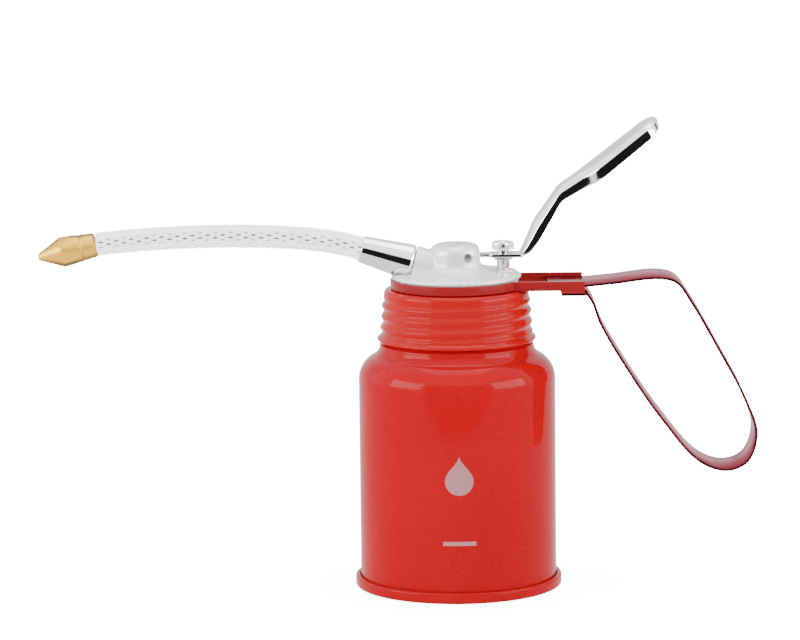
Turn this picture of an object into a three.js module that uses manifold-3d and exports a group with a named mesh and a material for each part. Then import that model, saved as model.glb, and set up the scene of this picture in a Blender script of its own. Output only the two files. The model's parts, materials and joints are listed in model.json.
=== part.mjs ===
// A hand pump oil can: a round steel can, a screw cap that carries the pump head, a thumb lever,
// a strap handle and a flexible hose spout with a brass nozzle.
// Millimetres, +Z up. The spout points to -X and the handle to +X.
// Heights in this file are measured from a level a little above the table. At the very end the
// whole object is lowered, so that the origin sits on the underside of the bottom panel, on the
// can's axis.

import * as THREE from 'three';
import { mergeVertices } from 'three/addons/utils/BufferGeometryUtils.js';
import Module from 'manifold-3d';

const wasm = await Module();
wasm.setup();

// ---------------------------------------------------------------- driving dimensions

const SHEET = 0.5;               // rolled steel sheet of the can and the cap
const TURN = 30;                 // facets around the large turned pieces
const FINE_TURN = 16;            // facets around the small ones
const RUNNING_GAP = 0.1;         // radial gap of a small turning or sliding fit

// the can
const TABLE_LEVEL = -1.4;        // height of the table that the can stands on
const BODY_RADIUS = 33.5;
const SHOULDER_START = 70;       // height where the straight wall turns into the shoulder
const SHOULDER_RADIUS = 9;
const HOLLOW_RADIUS = 4.5;       // the shoulder sweeps up into the collar through this hollow
const COLLAR_RADIUS = 26.2;      // narrowest part of the shoulder, below the neck
const COLLAR_TOP = 82.2;
const NECK_TOP = 98.4;
const SEAM_RADIUS = 35.5;        // double seam that holds the bottom panel
const SEAM_HEIGHT = 3.8;
const BASE_RECESS = 2.6;         // how far the bottom panel is above the table

// the thread, rolled into the neck and the cap
const PITCH = 3.7;
const THREAD_DEPTH = 0.4;        // wave height to each side of the mean wall
const THREAD_STEPS = 4;          // profile points in one pitch
const THREAD_GAP = 0.45;         // radial gap between neck and cap
const TAPER = 0.08;              // the wall widens downwards by this much per millimetre

// the screw cap
const CAP_TOP = 100.95;
const CAP_WALL_TOP = 98;         // where the threaded wall of the cap ends
const CAP_WALL_RADIUS = 24.75;   // mean outer radius there
const CAP_BEAD_HEIGHT = 84;
const CAP_BEAD_RADIUS = 27;

// the handle
const BRACKET_SHEET = 0.95;
const BRACKET_FLOOR = CAP_TOP + 0.1;
const BRACKET_RADIUS = 22.4;
const BRACKET_RIM_TOP = 104.3;
const ARM_END = 43.2;
const ARM_WALL_TOP = 104.2;
const ARM_PAD_START = 35.2;      // the arm's end is thicker, where the strap is fixed below it
const ARM_PAD_BOTTOM = 100.15;
const STRAP_WIDTH = 20.5;
const STRAP_SHEET = 0.95;

// the pump
const PUMP_X = 16;               // the pump stands off the can's axis, on the handle's side
const HEAD_BASE = BRACKET_FLOOR + BRACKET_SHEET + 0.1;
const HEAD_RADIUS = 21.2;
const HEAD_FLANGE_RADIUS = 22.1;
const BOSS_RADIUS = 9;
const BOSS_TOP = 116.2;
const GLAND_RADIUS = 4.2;        // raised ring round the rod where it leaves the casting
const GLAND_TOP = 107.2;
const SEAL_RADIUS = 3.85;
const ROD_RADIUS = 2.2;
const BORE_RADIUS = 3.8;
const BARREL_RADIUS = 4.6;
const SPIGOT_RADIUS = 5;         // threaded top of the barrel
const SPIGOT_TOP = 105;
const BARREL_BOTTOM = 76;
const PISTON_BOTTOM = 90.6;
const ROD_COLLAR_RADIUS = 3.1;   // carries the lever's foot
const ROD_COLLAR_DOME = 0.65;
const ROD_NECK = 1.95;           // the rod above its collar, inside the lever's slot
const ROD_TOP = 117;
const NUT_HEIGHT = 3.2;
const NUT_FLATS = 7;

// the lever
const PIVOT_X = 4;
const PIVOT_Z = 112.15;
const PIN_RADIUS = 1.5;
const LEVER_SHEET = 1.1;
const LEVER_ANGLE = THREE.MathUtils.degToRad(14);   // full press
const FOOT_PLAY = 0.72;          // room for the foot to tilt between collar and nut
const FOOT_HALF_WIDTH = 4.8;
const KNUCKLE_RADIUS = 2.4;
const KNUCKLE_HALF_WIDTH = 3.1;

// the spout
const SPOUT_ANGLE = THREE.MathUtils.degToRad(16);   // rise of the outlet above the level
const OUTLET = new THREE.Vector3(-14.8, 0, 109.6);  // where the ferrule starts
const FERRULE_LENGTH = 18;
const HOSE_RADIUS = 4;
const HOSE_BORE = 2.45;
const HOSE_FACETS = 12;
const FIRST_BEND = 8;            // distance of the first bending point along the free hose
const BEND_SPACING = 23;
const BEND_GAP = 1.5;            // each hose section stops this far from its bending point
const NOZZLE_GAP = 0.5;          // the nozzle dips more than the hose's end, so its face stays clear
const NOZZLE_LENGTH = 20.4;
const NOZZLE_ANGLE = THREE.MathUtils.degToRad(12);  // fall of the nozzle below the level

// ---------------------------------------------------------------- materials

const finishes = {
  redPaint: { color: 0xd81a20, roughness: 0.25, metalness: 0.1 },
  strapPaint: { color: 0xb5474b, roughness: 0.35, metalness: 0.1 },
  chrome: { color: 0xd9dbde, roughness: 0.12, metalness: 1 },
  casting: { color: 0xc4c6c9, roughness: 0.35, metalness: 0.9 },
  steel: { color: 0xa9abad, roughness: 0.35, metalness: 1 },
  brass: { color: 0xc39a4a, roughness: 0.3, metalness: 1 },
  hose: { color: 0xe6e8ea, roughness: 0.2, metalness: 0 },
  clearTube: { color: 0xdfe3e0, roughness: 0.25, metalness: 0 },
  rubber: { color: 0x1d1d1f, roughness: 0.8, metalness: 0 },
};

function piece(name, geometry, finish) {
  const mesh = new THREE.Mesh(geometry, new THREE.MeshStandardMaterial(finishes[finish]));
  mesh.name = name;
  return mesh;
}

// ---------------------------------------------------------------- solids and booleans

// A closed triangle mesh as a solid that can be joined and cut.
function solid(geometry) {
  const bare = geometry.clone();
  bare.deleteAttribute('normal');
  bare.deleteAttribute('uv');
  const merged = mergeVertices(bare);
  const corners = merged.index.array;
  const triangles = [];
  for (let i = 0; i < corners.length; i += 3) {
    const [a, b, c] = corners.slice(i, i + 3);
    if (a !== b && b !== c && c !== a) {
      triangles.push(a, b, c);
    }
  }
  return new wasm.Manifold(new wasm.Mesh({
    numProp: 3,
    vertProperties: new Float32Array(merged.attributes.position.array),
    triVerts: new Uint32Array(triangles),
  }));
}

function geometryOf(body) {
  const mesh = body.getMesh();
  const geometry = new THREE.BufferGeometry();
  geometry.setAttribute('position', new THREE.BufferAttribute(new Float32Array(mesh.vertProperties), 3));
  geometry.setIndex(new THREE.BufferAttribute(new Uint32Array(mesh.triVerts), 1));
  return geometry;
}

// A closed profile of [radius, height] points, turned about the Z axis.
function turned(profile, facets = TURN) {
  const points = profile.map(([radius, height]) => new THREE.Vector2(radius, height));
  return new THREE.LatheGeometry(points, facets).rotateX(Math.PI / 2);
}

// A ring with a rectangular section.
function ring(inner, outer, bottom, top, facets = FINE_TURN) {
  const section = [[inner, bottom], [outer, bottom], [outer, top], [inner, top], [inner, bottom]];
  return turned(section, facets);
}

// A round bar between two points.
function bar(radius, from, to, facets = FINE_TURN) {
  const along = new THREE.Vector3().subVectors(to, from);
  const geometry = new THREE.CylinderGeometry(radius, radius, along.length(), facets);
  const up = new THREE.Vector3(0, 1, 0);
  geometry.applyQuaternion(new THREE.Quaternion().setFromUnitVectors(up, along.clone().normalize()));
  const middle = from.clone().lerp(to, 0.5);
  return geometry.translate(middle.x, middle.y, middle.z);
}

// A block between two corners.
function block([x0, y0, z0], [x1, y1, z1]) {
  const geometry = new THREE.BoxGeometry(x1 - x0, y1 - y0, z1 - z0);
  return geometry.translate((x0 + x1) / 2, (y0 + y1) / 2, (z0 + z1) / 2);
}

// A side outline of [x, z] points, extruded across Y and centred on it.
function sidePlate(outline, width) {
  const shape = new THREE.Shape(outline.map(([x, z]) => new THREE.Vector2(x, z)));
  const geometry = new THREE.ExtrudeGeometry(shape, { depth: width, bevelEnabled: false });
  return geometry.rotateX(Math.PI / 2).translate(0, width / 2, 0);
}

// A plan shape, extruded upwards.
function upright(shape, bottom, top) {
  const geometry = new THREE.ExtrudeGeometry(shape, { depth: top - bottom, bevelEnabled: false });
  return geometry.translate(0, 0, bottom);
}

// Points of an arc about [cx, cz], from one angle to another, in degrees.
function arc(cx, cz, radius, from, to, steps) {
  const points = [];
  for (let i = 0; i <= steps; i += 1) {
    const angle = THREE.MathUtils.degToRad(from + (to - from) * i / steps);
    points.push([cx + radius * Math.cos(angle), cz + radius * Math.sin(angle)]);
  }
  return points;
}

// ---------------------------------------------------------------- the thread

// Mean outer radius of the cap's wall at a height.
function capRadius(height) {
  return CAP_WALL_RADIUS + TAPER * (CAP_WALL_TOP - height);
}

// Wall points between two heights, THREAD_STEPS to a pitch, marked as threaded.
function threadedWall(radiusAt, from, to) {
  const steps = Math.round(Math.abs(to - from) / (PITCH / THREAD_STEPS));
  const points = [];
  for (let i = 0; i <= steps; i += 1) {
    const height = from + (to - from) * i / steps;
    points.push([radiusAt(height), height, true]);
  }
  return points;
}

// A turned profile whose marked points follow a right-hand helix.
function turnedThread(profile) {
  const geometry = turned(profile);
  const position = geometry.attributes.position;
  for (let i = 0; i < position.count; i += 1) {
    const row = profile[i % profile.length];
    if (row[2]) {
      const angle = 2 * Math.PI * Math.floor(i / profile.length) / TURN;
      const wave = THREAD_DEPTH * Math.cos(2 * Math.PI * row[1] / PITCH - angle);
      const scale = 1 + wave / row[0];
      position.setX(i, position.getX(i) * scale);
      position.setY(i, position.getY(i) * scale);
    }
  }
  return geometry;
}

// ---------------------------------------------------------------- the can

// The shoulder's round and the hollow above it, from the straight wall up to the collar, at a
// depth inside the outer face. The two arcs touch on the line between their centres.
function shoulderLine(depth) {
  const roundCentre = BODY_RADIUS - SHOULDER_RADIUS;
  const hollowCentre = COLLAR_RADIUS + HOLLOW_RADIUS;
  const across = hollowCentre - roundCentre;
  const rise = Math.sqrt((SHOULDER_RADIUS + HOLLOW_RADIUS) ** 2 - across ** 2);
  const turn = THREE.MathUtils.radToDeg(Math.atan2(rise, across));
  const round = arc(roundCentre, SHOULDER_START, SHOULDER_RADIUS - depth, 0, turn, 5);
  const hollow = arc(hollowCentre, SHOULDER_START + rise, HOLLOW_RADIUS + depth, 180 + turn, 180, 3);
  return [...round, ...hollow.slice(1)];
}

function canBody() {
  const wallBottom = TABLE_LEVEL + 0.9;
  const neckRadius = (height) => capRadius(height) - SHEET - THREAD_GAP;
  const rimRadius = neckRadius(NECK_TOP) - 0.3;
  const neckInner = 22.9;
  const collarInner = COLLAR_RADIUS - SHEET;
  const profile = [
    [BODY_RADIUS - SHEET, wallBottom],
    [BODY_RADIUS, wallBottom],
    ...shoulderLine(0),
    [COLLAR_RADIUS, COLLAR_TOP],
    [neckRadius(COLLAR_TOP) + THREAD_DEPTH, COLLAR_TOP + 0.5],
    ...threadedWall(neckRadius, COLLAR_TOP + 1.4, NECK_TOP - 1.5),
    [rimRadius, NECK_TOP - 0.7],
    [rimRadius - 0.3, NECK_TOP],
    [neckInner, NECK_TOP],
    [neckInner, NECK_TOP - 1.5],
    [neckRadius(COLLAR_TOP) - 2 * THREAD_DEPTH, COLLAR_TOP - SHEET],
    [collarInner, COLLAR_TOP - SHEET],
    ...shoulderLine(SHEET).reverse(),
    [BODY_RADIUS - SHEET, wallBottom],
  ];
  return turnedThread(profile);
}

function canBottom() {
  const wallGap = 0.2;
  const seamInner = BODY_RADIUS - SHEET - wallGap;
  const footRound = 0.8;
  const seamRound = 1;
  const panel = TABLE_LEVEL + BASE_RECESS;
  const seamTop = TABLE_LEVEL + SEAM_HEIGHT;
  const grooveBottom = TABLE_LEVEL + 0.6;
  const profile = [
    [0, panel],
    [seamInner - 1.6, panel],
    [seamInner - SHEET - 0.2, TABLE_LEVEL + 0.3],
    [seamInner, TABLE_LEVEL],
    [SEAM_RADIUS - footRound, TABLE_LEVEL],
    ...arc(SEAM_RADIUS - footRound, TABLE_LEVEL + footRound, footRound, -45, 0, 1),
    ...arc(SEAM_RADIUS - seamRound, seamTop - seamRound, seamRound, 0, 90, 2),
    [BODY_RADIUS + wallGap, seamTop - 0.3],
    [BODY_RADIUS + wallGap, grooveBottom],
    [seamInner, grooveBottom],
    [seamInner, panel + SHEET],
    [0, panel + SHEET],
  ];
  return turned(profile);
}

function capGasket() {
  const inner = 22.4;
  const outer = 23.7;
  return ring(inner, outer, NECK_TOP + 0.1, CAP_TOP - SHEET - 0.3, TURN);
}

// ---------------------------------------------------------------- the screw cap

function screwCap() {
  const inner = (height) => capRadius(height) - SHEET;
  const bead = 0.7;
  const underside = CAP_TOP - SHEET - 0.1;
  const corner = 1.6;
  const cornerCentre = CAP_WALL_RADIUS - 0.1 - corner;
  const beadCentre = CAP_BEAD_RADIUS - bead;
  const wallBottom = CAP_BEAD_HEIGHT + bead + 0.9;
  const wallTop = CAP_WALL_TOP;
  const profile = [
    [0, underside],
    [inner(wallTop) - 0.2, underside],
    [inner(wallTop), underside - 0.5],
    ...threadedWall(inner, wallTop, wallBottom),
    ...arc(beadCentre, CAP_BEAD_HEIGHT, bead, 180, 450, 6),
    ...threadedWall(capRadius, wallBottom, wallTop),
    ...arc(cornerCentre, CAP_TOP - corner, corner, 0, 90, 4),
    [0, CAP_TOP],
  ];
  return geometryOf(solid(turnedThread(profile)).subtract(pumpHole(underside - 1, CAP_TOP + 1)));
}

// A plain upright round bar on the pump's axis.
function pumpBar(radius, bottom, top) {
  const from = new THREE.Vector3(PUMP_X, 0, bottom);
  return solid(bar(radius, from, new THREE.Vector3(PUMP_X, 0, top)));
}

// The hole that lets the barrel's threaded top through the cap and the bracket.
function pumpHole(bottom, top) {
  const gap = 0.2;
  return pumpBar(SPIGOT_RADIUS + gap, bottom, top);
}

// ---------------------------------------------------------------- the handle

// A round pan that sits on the cap, with an open-topped channel as its arm.
function handleBracket() {
  const floorTop = BRACKET_FLOOR + BRACKET_SHEET;
  const rimInner = BRACKET_RADIUS - BRACKET_SHEET + 0.05;
  const armInner = STRAP_WIDTH / 2 + 0.2;
  const armOuter = armInner + BRACKET_SHEET;
  const pan = solid(turned([
    [0, BRACKET_FLOOR],
    [BRACKET_RADIUS, BRACKET_FLOOR],
    [BRACKET_RADIUS, BRACKET_RIM_TOP],
    [rimInner, BRACKET_RIM_TOP],
    [rimInner, floorTop],
    [0, floorTop],
  ]));
  const armStart = HEAD_FLANGE_RADIUS - 4;
  const channel = solid(block([armStart, -armOuter, BRACKET_FLOOR], [ARM_END, armOuter, ARM_WALL_TOP]));
  const pad = solid(block([ARM_PAD_START, -armOuter, ARM_PAD_BOTTOM], [ARM_END, armOuter, floorTop]));
  const inside = solid(block([0, -armInner, floorTop], [ARM_END + 1, armInner, ARM_WALL_TOP + 1]));
  const headSpace = solid(turned([
    [0, floorTop],
    [rimInner, floorTop],
    [rimInner, ARM_WALL_TOP + 1],
    [0, ARM_WALL_TOP + 1],
  ]));
  const cut = pan.add(channel).add(pad).subtract(inside).subtract(headSpace);
  return geometryOf(cut.subtract(pumpHole(BRACKET_FLOOR - 1, floorTop + 1)));
}

// The strap: both ends lie flat on the arm, one inside the channel and one below it,
// and the band runs round a long rounded triangle.
function handleStrap() {
  const upper = BRACKET_FLOOR + BRACKET_SHEET + 0.1 + STRAP_SHEET / 2;
  const lower = ARM_PAD_BOTTOM - 0.1 - STRAP_SHEET / 2;
  const bend = ARM_END + 1.1;
  const at = (x, z) => new THREE.Vector3(x, 0, z);
  const loop = new THREE.CatmullRomCurve3([
    at(bend, upper), at(53, 103.4), at(68.5, 104.9), at(74.4, 103.3), at(79.6, 96.2), at(88.4, 80.6),
    at(97.2, 63.8), at(101.3, 51.2), at(98.1, 41.6), at(91, 38.8), at(82, 42), at(69.8, 56),
    at(58.4, 72.7), at(48.7, 89.5), at(46.2, 96.4), at(bend, lower),
  ]);
  const path = new THREE.CurvePath();
  path.add(new THREE.LineCurve3(at(31, upper), at(bend, upper)));
  path.add(loop);
  path.add(new THREE.LineCurve3(at(bend, lower), at(35.5, lower)));
  const section = new THREE.Shape([
    new THREE.Vector2(-STRAP_SHEET / 2, -STRAP_WIDTH / 2),
    new THREE.Vector2(STRAP_SHEET / 2, -STRAP_WIDTH / 2),
    new THREE.Vector2(STRAP_SHEET / 2, STRAP_WIDTH / 2),
    new THREE.Vector2(-STRAP_SHEET / 2, STRAP_WIDTH / 2),
  ]);
  return new THREE.ExtrudeGeometry(section, { steps: 66, bevelEnabled: false, extrudePath: path });
}

// ---------------------------------------------------------------- the pump head

const spoutDirection = new THREE.Vector3(-Math.cos(SPOUT_ANGLE), 0, Math.sin(SPOUT_ANGLE));

// A point on the outlet's axis, counted from where the ferrule starts.
function alongSpout(distance) {
  return OUTLET.clone().addScaledVector(spoutDirection, distance);
}

function pumpHead() {
  const galleryHeight = 104.2;
  const galleryRadius = 1.2;
  const casting = solid(turned([
    [0, HEAD_BASE],
    [HEAD_RADIUS, HEAD_BASE],
    [HEAD_RADIUS, BRACKET_RIM_TOP + 0.2],
    [HEAD_FLANGE_RADIUS, BRACKET_RIM_TOP + 0.4],
    [HEAD_FLANGE_RADIUS, 105.3],
    [HEAD_FLANGE_RADIUS - 1, 106],
    [15, 106.7],
    [BOSS_RADIUS + 1.6, 107.3],
    [BOSS_RADIUS, 109],
    [BOSS_RADIUS, BOSS_TOP - 3.2],
    ...arc(BOSS_RADIUS - 3, BOSS_TOP - 3.2, 3, 30, 90, 2),
    [0, BOSS_TOP],
  ]));
  const outletBoss = solid(bar(6.1, alongSpout(-13), alongSpout(-0.3), 20));
  const gland = pumpBar(GLAND_RADIUS, HEAD_BASE + 1, GLAND_TOP);
  const ferruleSpace = solid(bar(6.6, alongSpout(-0.2), alongSpout(30), 20));
  const leverSlot = solid(block([PIVOT_X - 5, -3.3, 108.7], [PIVOT_X + 7, 3.3, BOSS_TOP + 1]));
  const pinHole = solid(bar(PIN_RADIUS + RUNNING_GAP,
    new THREE.Vector3(PIVOT_X, -BOSS_RADIUS, PIVOT_Z), new THREE.Vector3(PIVOT_X, BOSS_RADIUS, PIVOT_Z)));
  const spigotSeat = pumpBar(SPIGOT_RADIUS + RUNNING_GAP, HEAD_BASE - 1, SPIGOT_TOP + 0.1);
  const sealSeat = pumpBar(SEAL_RADIUS + 0.15, SPIGOT_TOP - 1, SPIGOT_TOP + 1.3);
  const rodHole = pumpBar(ROD_RADIUS + RUNNING_GAP, SPIGOT_TOP, GLAND_TOP + 1);
  const gallery = solid(bar(galleryRadius,
    new THREE.Vector3(-1, 0, galleryHeight), new THREE.Vector3(PUMP_X - 3, 0, galleryHeight), 10));
  const outletBore = solid(bar(galleryRadius, alongSpout(-15.5), alongSpout(1), 10));
  const nippleSeat = solid(bar(2.1, alongSpout(-6), alongSpout(1)));
  const below = solid(block([-40, -40, HEAD_BASE - 20], [40, 40, HEAD_BASE]));
  let body = casting.add(outletBoss).add(gland);
  for (const cutter of [ferruleSpace, leverSlot, pinHole, spigotSeat, sealSeat, rodHole, gallery,
    outletBore, nippleSeat, below]) {
    body = body.subtract(cutter);
  }
  return geometryOf(body);
}

function leverPin() {
  const reach = 7.6;
  return leverCrossBar(PIN_RADIUS, reach);
}

// ---------------------------------------------------------------- the pump, about its own axis

function pumpBarrel() {
  const step = 97.2;
  const tube = solid(turned([
    [BORE_RADIUS, BARREL_BOTTOM],
    [BARREL_RADIUS, BARREL_BOTTOM],
    [BARREL_RADIUS, step],
    [SPIGOT_RADIUS, step + 0.4],
    [SPIGOT_RADIUS, SPIGOT_TOP],
    [BORE_RADIUS, SPIGOT_TOP],
    [BORE_RADIUS, BARREL_BOTTOM],
  ], 20));
  const port = bar(0.9, new THREE.Vector3(-SPIGOT_RADIUS - 1, 0, 104), new THREE.Vector3(0, 0, 104), 8);
  return geometryOf(tube.subtract(solid(port)));
}

// A hexagonal nut with flats facing +X and -X.
function hexNut(acrossFlats, holeRadius, bottom, top) {
  const corner = acrossFlats / Math.sqrt(3);
  const corners = [0, 1, 2, 3, 4, 5].map((i) => {
    const angle = Math.PI * (i / 3 + 1 / 6);
    return new THREE.Vector2(corner * Math.cos(angle), corner * Math.sin(angle));
  });
  const hexagon = new THREE.Shape(corners);
  const hole = new THREE.Path();
  hole.absarc(0, 0, holeRadius, 0, 2 * Math.PI, true);
  hexagon.holes.push(hole);
  const depth = top - bottom;
  const nut = new THREE.ExtrudeGeometry(hexagon, { depth, bevelEnabled: false, curveSegments: FINE_TURN });
  return nut.translate(0, 0, bottom);
}

function glandSeal() {
  return ring(ROD_RADIUS + RUNNING_GAP, SEAL_RADIUS, SPIGOT_TOP + 0.15, SPIGOT_TOP + 1.2);
}

function pistonCup() {
  return ring(2.8, BORE_RADIUS - RUNNING_GAP, PISTON_BOTTOM + 1.1, PISTON_BOTTOM + 2.8);
}

// Piston with a ball valve: oil passes up through it while it goes down.
function piston() {
  const inlet = 0.7;
  const disc = 3.5;
  const discTop = PISTON_BOTTOM + 1;
  const hubRadius = 2.7;
  const hubBore = 1.4;
  const hubTop = PISTON_BOTTOM + 7;
  const hub = solid(turned([
    [inlet, PISTON_BOTTOM],
    [disc, PISTON_BOTTOM],
    [disc, discTop],
    [hubRadius, discTop],
    [hubRadius, hubTop],
    [hubBore, hubTop],
    [hubBore, discTop],
    [inlet, discTop],
    [inlet, PISTON_BOTTOM],
  ]));
  const portHeight = PISTON_BOTTOM + 4;
  const port = bar(0.8, new THREE.Vector3(-4, 0, portHeight), new THREE.Vector3(4, 0, portHeight), 8);
  return geometryOf(hub.subtract(solid(port)));
}

function plungerRod() {
  const collarTop = PIVOT_Z - LEVER_SHEET / 2 - 0.1;
  const collarEdge = collarTop - ROD_COLLAR_DOME;
  const shank = 1.3;                     // screwed into the piston
  const shankBottom = PISTON_BOTTOM + 5.2;
  const rodBottom = PISTON_BOTTOM + 7.2;
  const chamfer = 0.4;
  return turned([
    [0, shankBottom],
    [shank, shankBottom],
    [shank, rodBottom],
    [ROD_RADIUS, rodBottom],
    [ROD_RADIUS, collarEdge - 0.5],
    [ROD_COLLAR_RADIUS, collarEdge - 0.35],
    [ROD_COLLAR_RADIUS, collarEdge],
    [ROD_NECK, collarTop],
    [ROD_NECK, ROD_TOP - chamfer],
    [ROD_NECK - chamfer, ROD_TOP],
    [0, ROD_TOP],
  ], FINE_TURN);
}

// The nut that keeps the lever's foot on the rod; its lower face is a shallow dome.
function leverNut() {
  const bottom = PIVOT_Z + LEVER_SHEET / 2 + FOOT_PLAY;
  const hole = ROD_NECK + RUNNING_GAP;
  const nut = solid(hexNut(NUT_FLATS, hole, bottom + 0.4, bottom + NUT_HEIGHT));
  const dome = solid(turned([
    [hole, bottom + 0.05],
    [hole + 0.7, bottom + 0.4],
    [hole + 0.7, bottom + 0.9],
    [hole, bottom + 0.9],
    [hole, bottom + 0.05],
  ], FINE_TURN));
  return geometryOf(nut.add(dome));
}

function returnSpring() {
  const wire = 0.4;
  const coil = 2.9;
  const turns = 5;
  const bottom = 81.2;
  const top = PISTON_BOTTOM - 0.55;
  class Helix extends THREE.Curve {
    getPoint(t, target = new THREE.Vector3()) {
      const angle = 2 * Math.PI * turns * t;
      return target.set(coil * Math.cos(angle), coil * Math.sin(angle), bottom + (top - bottom) * t);
    }
  }
  const section = new THREE.Shape();
  section.absarc(0, 0, wire, 0, 2 * Math.PI, false);
  const options = { steps: turns * 9, curveSegments: 3, bevelEnabled: false, extrudePath: new Helix() };
  return new THREE.ExtrudeGeometry(section, options);
}

// The foot valve: a seat under the barrel, with the dip tube's barb, and a cage that keeps the ball.
function valveSeat() {
  const top = BARREL_BOTTOM - 0.1;
  const bore = 1;
  const barb = 1.8;
  const barbBottom = 68;
  return turned([
    [bore, barbBottom],
    [barb, barbBottom],
    [barb, top - 1.4],
    [BARREL_RADIUS, top - 1.3],
    [BARREL_RADIUS, top],
    [bore, top],
    [bore, barbBottom],
  ], FINE_TURN);
}

function valveCage() {
  const radius = BORE_RADIUS - RUNNING_GAP;
  const room = 1.9;                      // bore around the ball
  const outlet = 0.9;
  const roof = 79.6;
  const top = 80.5;
  return turned([
    [room, BARREL_BOTTOM],
    [radius, BARREL_BOTTOM],
    [radius, top],
    [outlet, top],
    [outlet, roof],
    [room, roof],
    [room, BARREL_BOTTOM],
  ], FINE_TURN);
}

// A ball resting on the rim of a hole.
function ball(radius, holeRadius, seatHeight) {
  const clearance = 0.06;
  const centre = seatHeight + Math.sqrt(radius ** 2 - holeRadius ** 2) + clearance;
  return new THREE.SphereGeometry(radius, 12, 8).rotateX(Math.PI / 2).translate(0, 0, centre);
}

// ---------------------------------------------------------------- the lever, about its pivot

// Side outline of the pressed channel: along the skirt, round the tip and back along the crown.
const skirtLine = [[17.5, -0.55], [18.6, -0.55], [20.9, 0.6], [23.9, 4.7], [31.8, 18.6], [38.9, 22.6],
  [45, 25.9], [63, 40.7]];
const crownLine = [[65.6, 43.9], [64.9, 46.2], [61.6, 46.9], [49.4, 37.6], [36.7, 27.8], [31, 24],
  [22.6, 12.6], [17, 0.6]];

// Plan of the lever: half widths along X for a narrow foot, a slim arm and a wide rounded thumb pad.
function leverPlan(inset) {
  const foot = FOOT_HALF_WIDTH - inset;
  const arm = 5.5 - inset;
  const pad = 8 - inset;
  const tipLength = 7;
  const padEnd = 66 - inset - tipLength;
  const half = [[7.4, foot], [20, foot], [23, arm], [38.5, arm], [44, pad], [padEnd, pad]];
  const near = half.map(([x, y]) => new THREE.Vector2(x, -y));
  const far = half.map(([x, y]) => new THREE.Vector2(x, y)).reverse();
  const round = new THREE.EllipseCurve(padEnd, 0, tipLength, pad, -Math.PI / 2, Math.PI / 2);
  return new THREE.Shape([...near, ...round.getPoints(8).slice(1, -1), ...far]);
}

// A side outline cut to the lever's plan.
function leverBlank(outline, inset) {
  const wide = 30;
  return solid(sidePlate(outline, wide)).intersect(solid(upright(leverPlan(inset), -5, 60)));
}

// The channel is open along its skirt, from where the foot ends up to the tip.
function lever() {
  const blank = leverBlank(skirtLine.concat(crownLine), 0);
  const crownSheet = 0.9;
  const openSkirt = skirtLine.map(([x, z]) => [x + LEVER_SHEET, z - LEVER_SHEET]);
  const underCrown = crownLine.map(([x, z]) => [x + crownSheet, z - crownSheet]);
  const hollowStart = 19.5;
  const hollow = leverBlank(openSkirt.concat(underCrown), LEVER_SHEET)
    .intersect(solid(block([hollowStart, -20, -5], [80, 20, 60])));
  const pinHole = solid(leverCrossBar(PIN_RADIUS + RUNNING_GAP, FOOT_HALF_WIDTH));
  const slot = solid(upright(footSlot(), -2, 2));
  return geometryOf(blank.subtract(hollow).add(leverFoot()).subtract(pinHole).subtract(slot));
}

// A flat plate that narrows to a tongue, with a knuckle round the pin.
function leverFoot() {
  const half = LEVER_SHEET / 2;
  const step = 7.3;
  const plate = solid(block([step, -FOOT_HALF_WIDTH, -half], [18, FOOT_HALF_WIDTH, half]));
  const tongue = solid(block([0, -KNUCKLE_HALF_WIDTH, -half], [step + 0.3, KNUCKLE_HALF_WIDTH, half]));
  const knuckle = solid(leverCrossBar(KNUCKLE_RADIUS, KNUCKLE_HALF_WIDTH));
  return plate.add(tongue).add(knuckle);
}

// A round bar across the lever's pivot.
function leverCrossBar(radius, reach) {
  return bar(radius, new THREE.Vector3(0, -reach, 0), new THREE.Vector3(0, reach, 0));
}

// The slot lets the foot tilt about the rod while the rod goes straight down.
// At its far end it also clears the rod's collar.
function footSlot() {
  const gap = 0.2;
  const reach = PUMP_X - PIVOT_X;
  const near = reach - ROD_NECK - gap;
  const far = (reach + ROD_COLLAR_RADIUS) / Math.cos(LEVER_ANGLE)
    + LEVER_SHEET / 2 * Math.tan(LEVER_ANGLE) + gap;
  const half = ROD_NECK + gap;
  const shape = new THREE.Shape();
  shape.absarc(far - half, 0, half, -Math.PI / 2, Math.PI / 2, false);
  shape.absarc(near + half, 0, half, Math.PI / 2, 3 * Math.PI / 2, false);
  return shape;
}

// ---------------------------------------------------------------- the spout

// Turned pieces of the outlet are made upright and laid along the outlet's axis by their group.
function spoutNipple() {
  return turned([
    [1.1, -5.5],
    [2, -5.5],
    [2, 0.6],
    [2.3, 1],
    [2, 6],
    [2.3, 6.4],
    [2, 11.4],
    [2.3, 11.8],
    [1.8, 17],
    [1.1, 17],
    [1.1, -5.5],
  ], FINE_TURN);
}

function spoutFerrule() {
  const inner = HOSE_RADIUS + 0.15;
  return turned([
    [inner, 0],
    [6, 0],
    [6.2, 0.8],
    [4.6, FERRULE_LENGTH - 0.4],
    [4.4, FERRULE_LENGTH],
    [inner, FERRULE_LENGTH],
    [inner, 0],
  ], 20);
}

// Centreline of the free hose: it leaves the ferrule upwards, arches and dips to the nozzle.
const hoseStart = alongSpout(FERRULE_LENGTH + 0.6);
const hoseLine = new THREE.CubicBezierCurve3(
  hoseStart,
  new THREE.Vector3(-49, 0, 121),
  new THREE.Vector3(-97, 0, 120.2),
  new THREE.Vector3(-121.65, 0, 117.15),
);
const hoseLength = hoseLine.getLength();

// Bending points of the hose, as distances along its centreline.
const bends = [0, 1, 2, 3].map((i) => FIRST_BEND + i * BEND_SPACING);

class HoseSection extends THREE.Curve {
  constructor(from, to) {
    super();
    this.from = from;
    this.to = to;
  }

  getPoint(t, target = new THREE.Vector3()) {
    const distance = this.from + (this.to - this.from) * t;
    return hoseLine.getPointAt(distance / hoseLength, target);
  }
}

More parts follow.
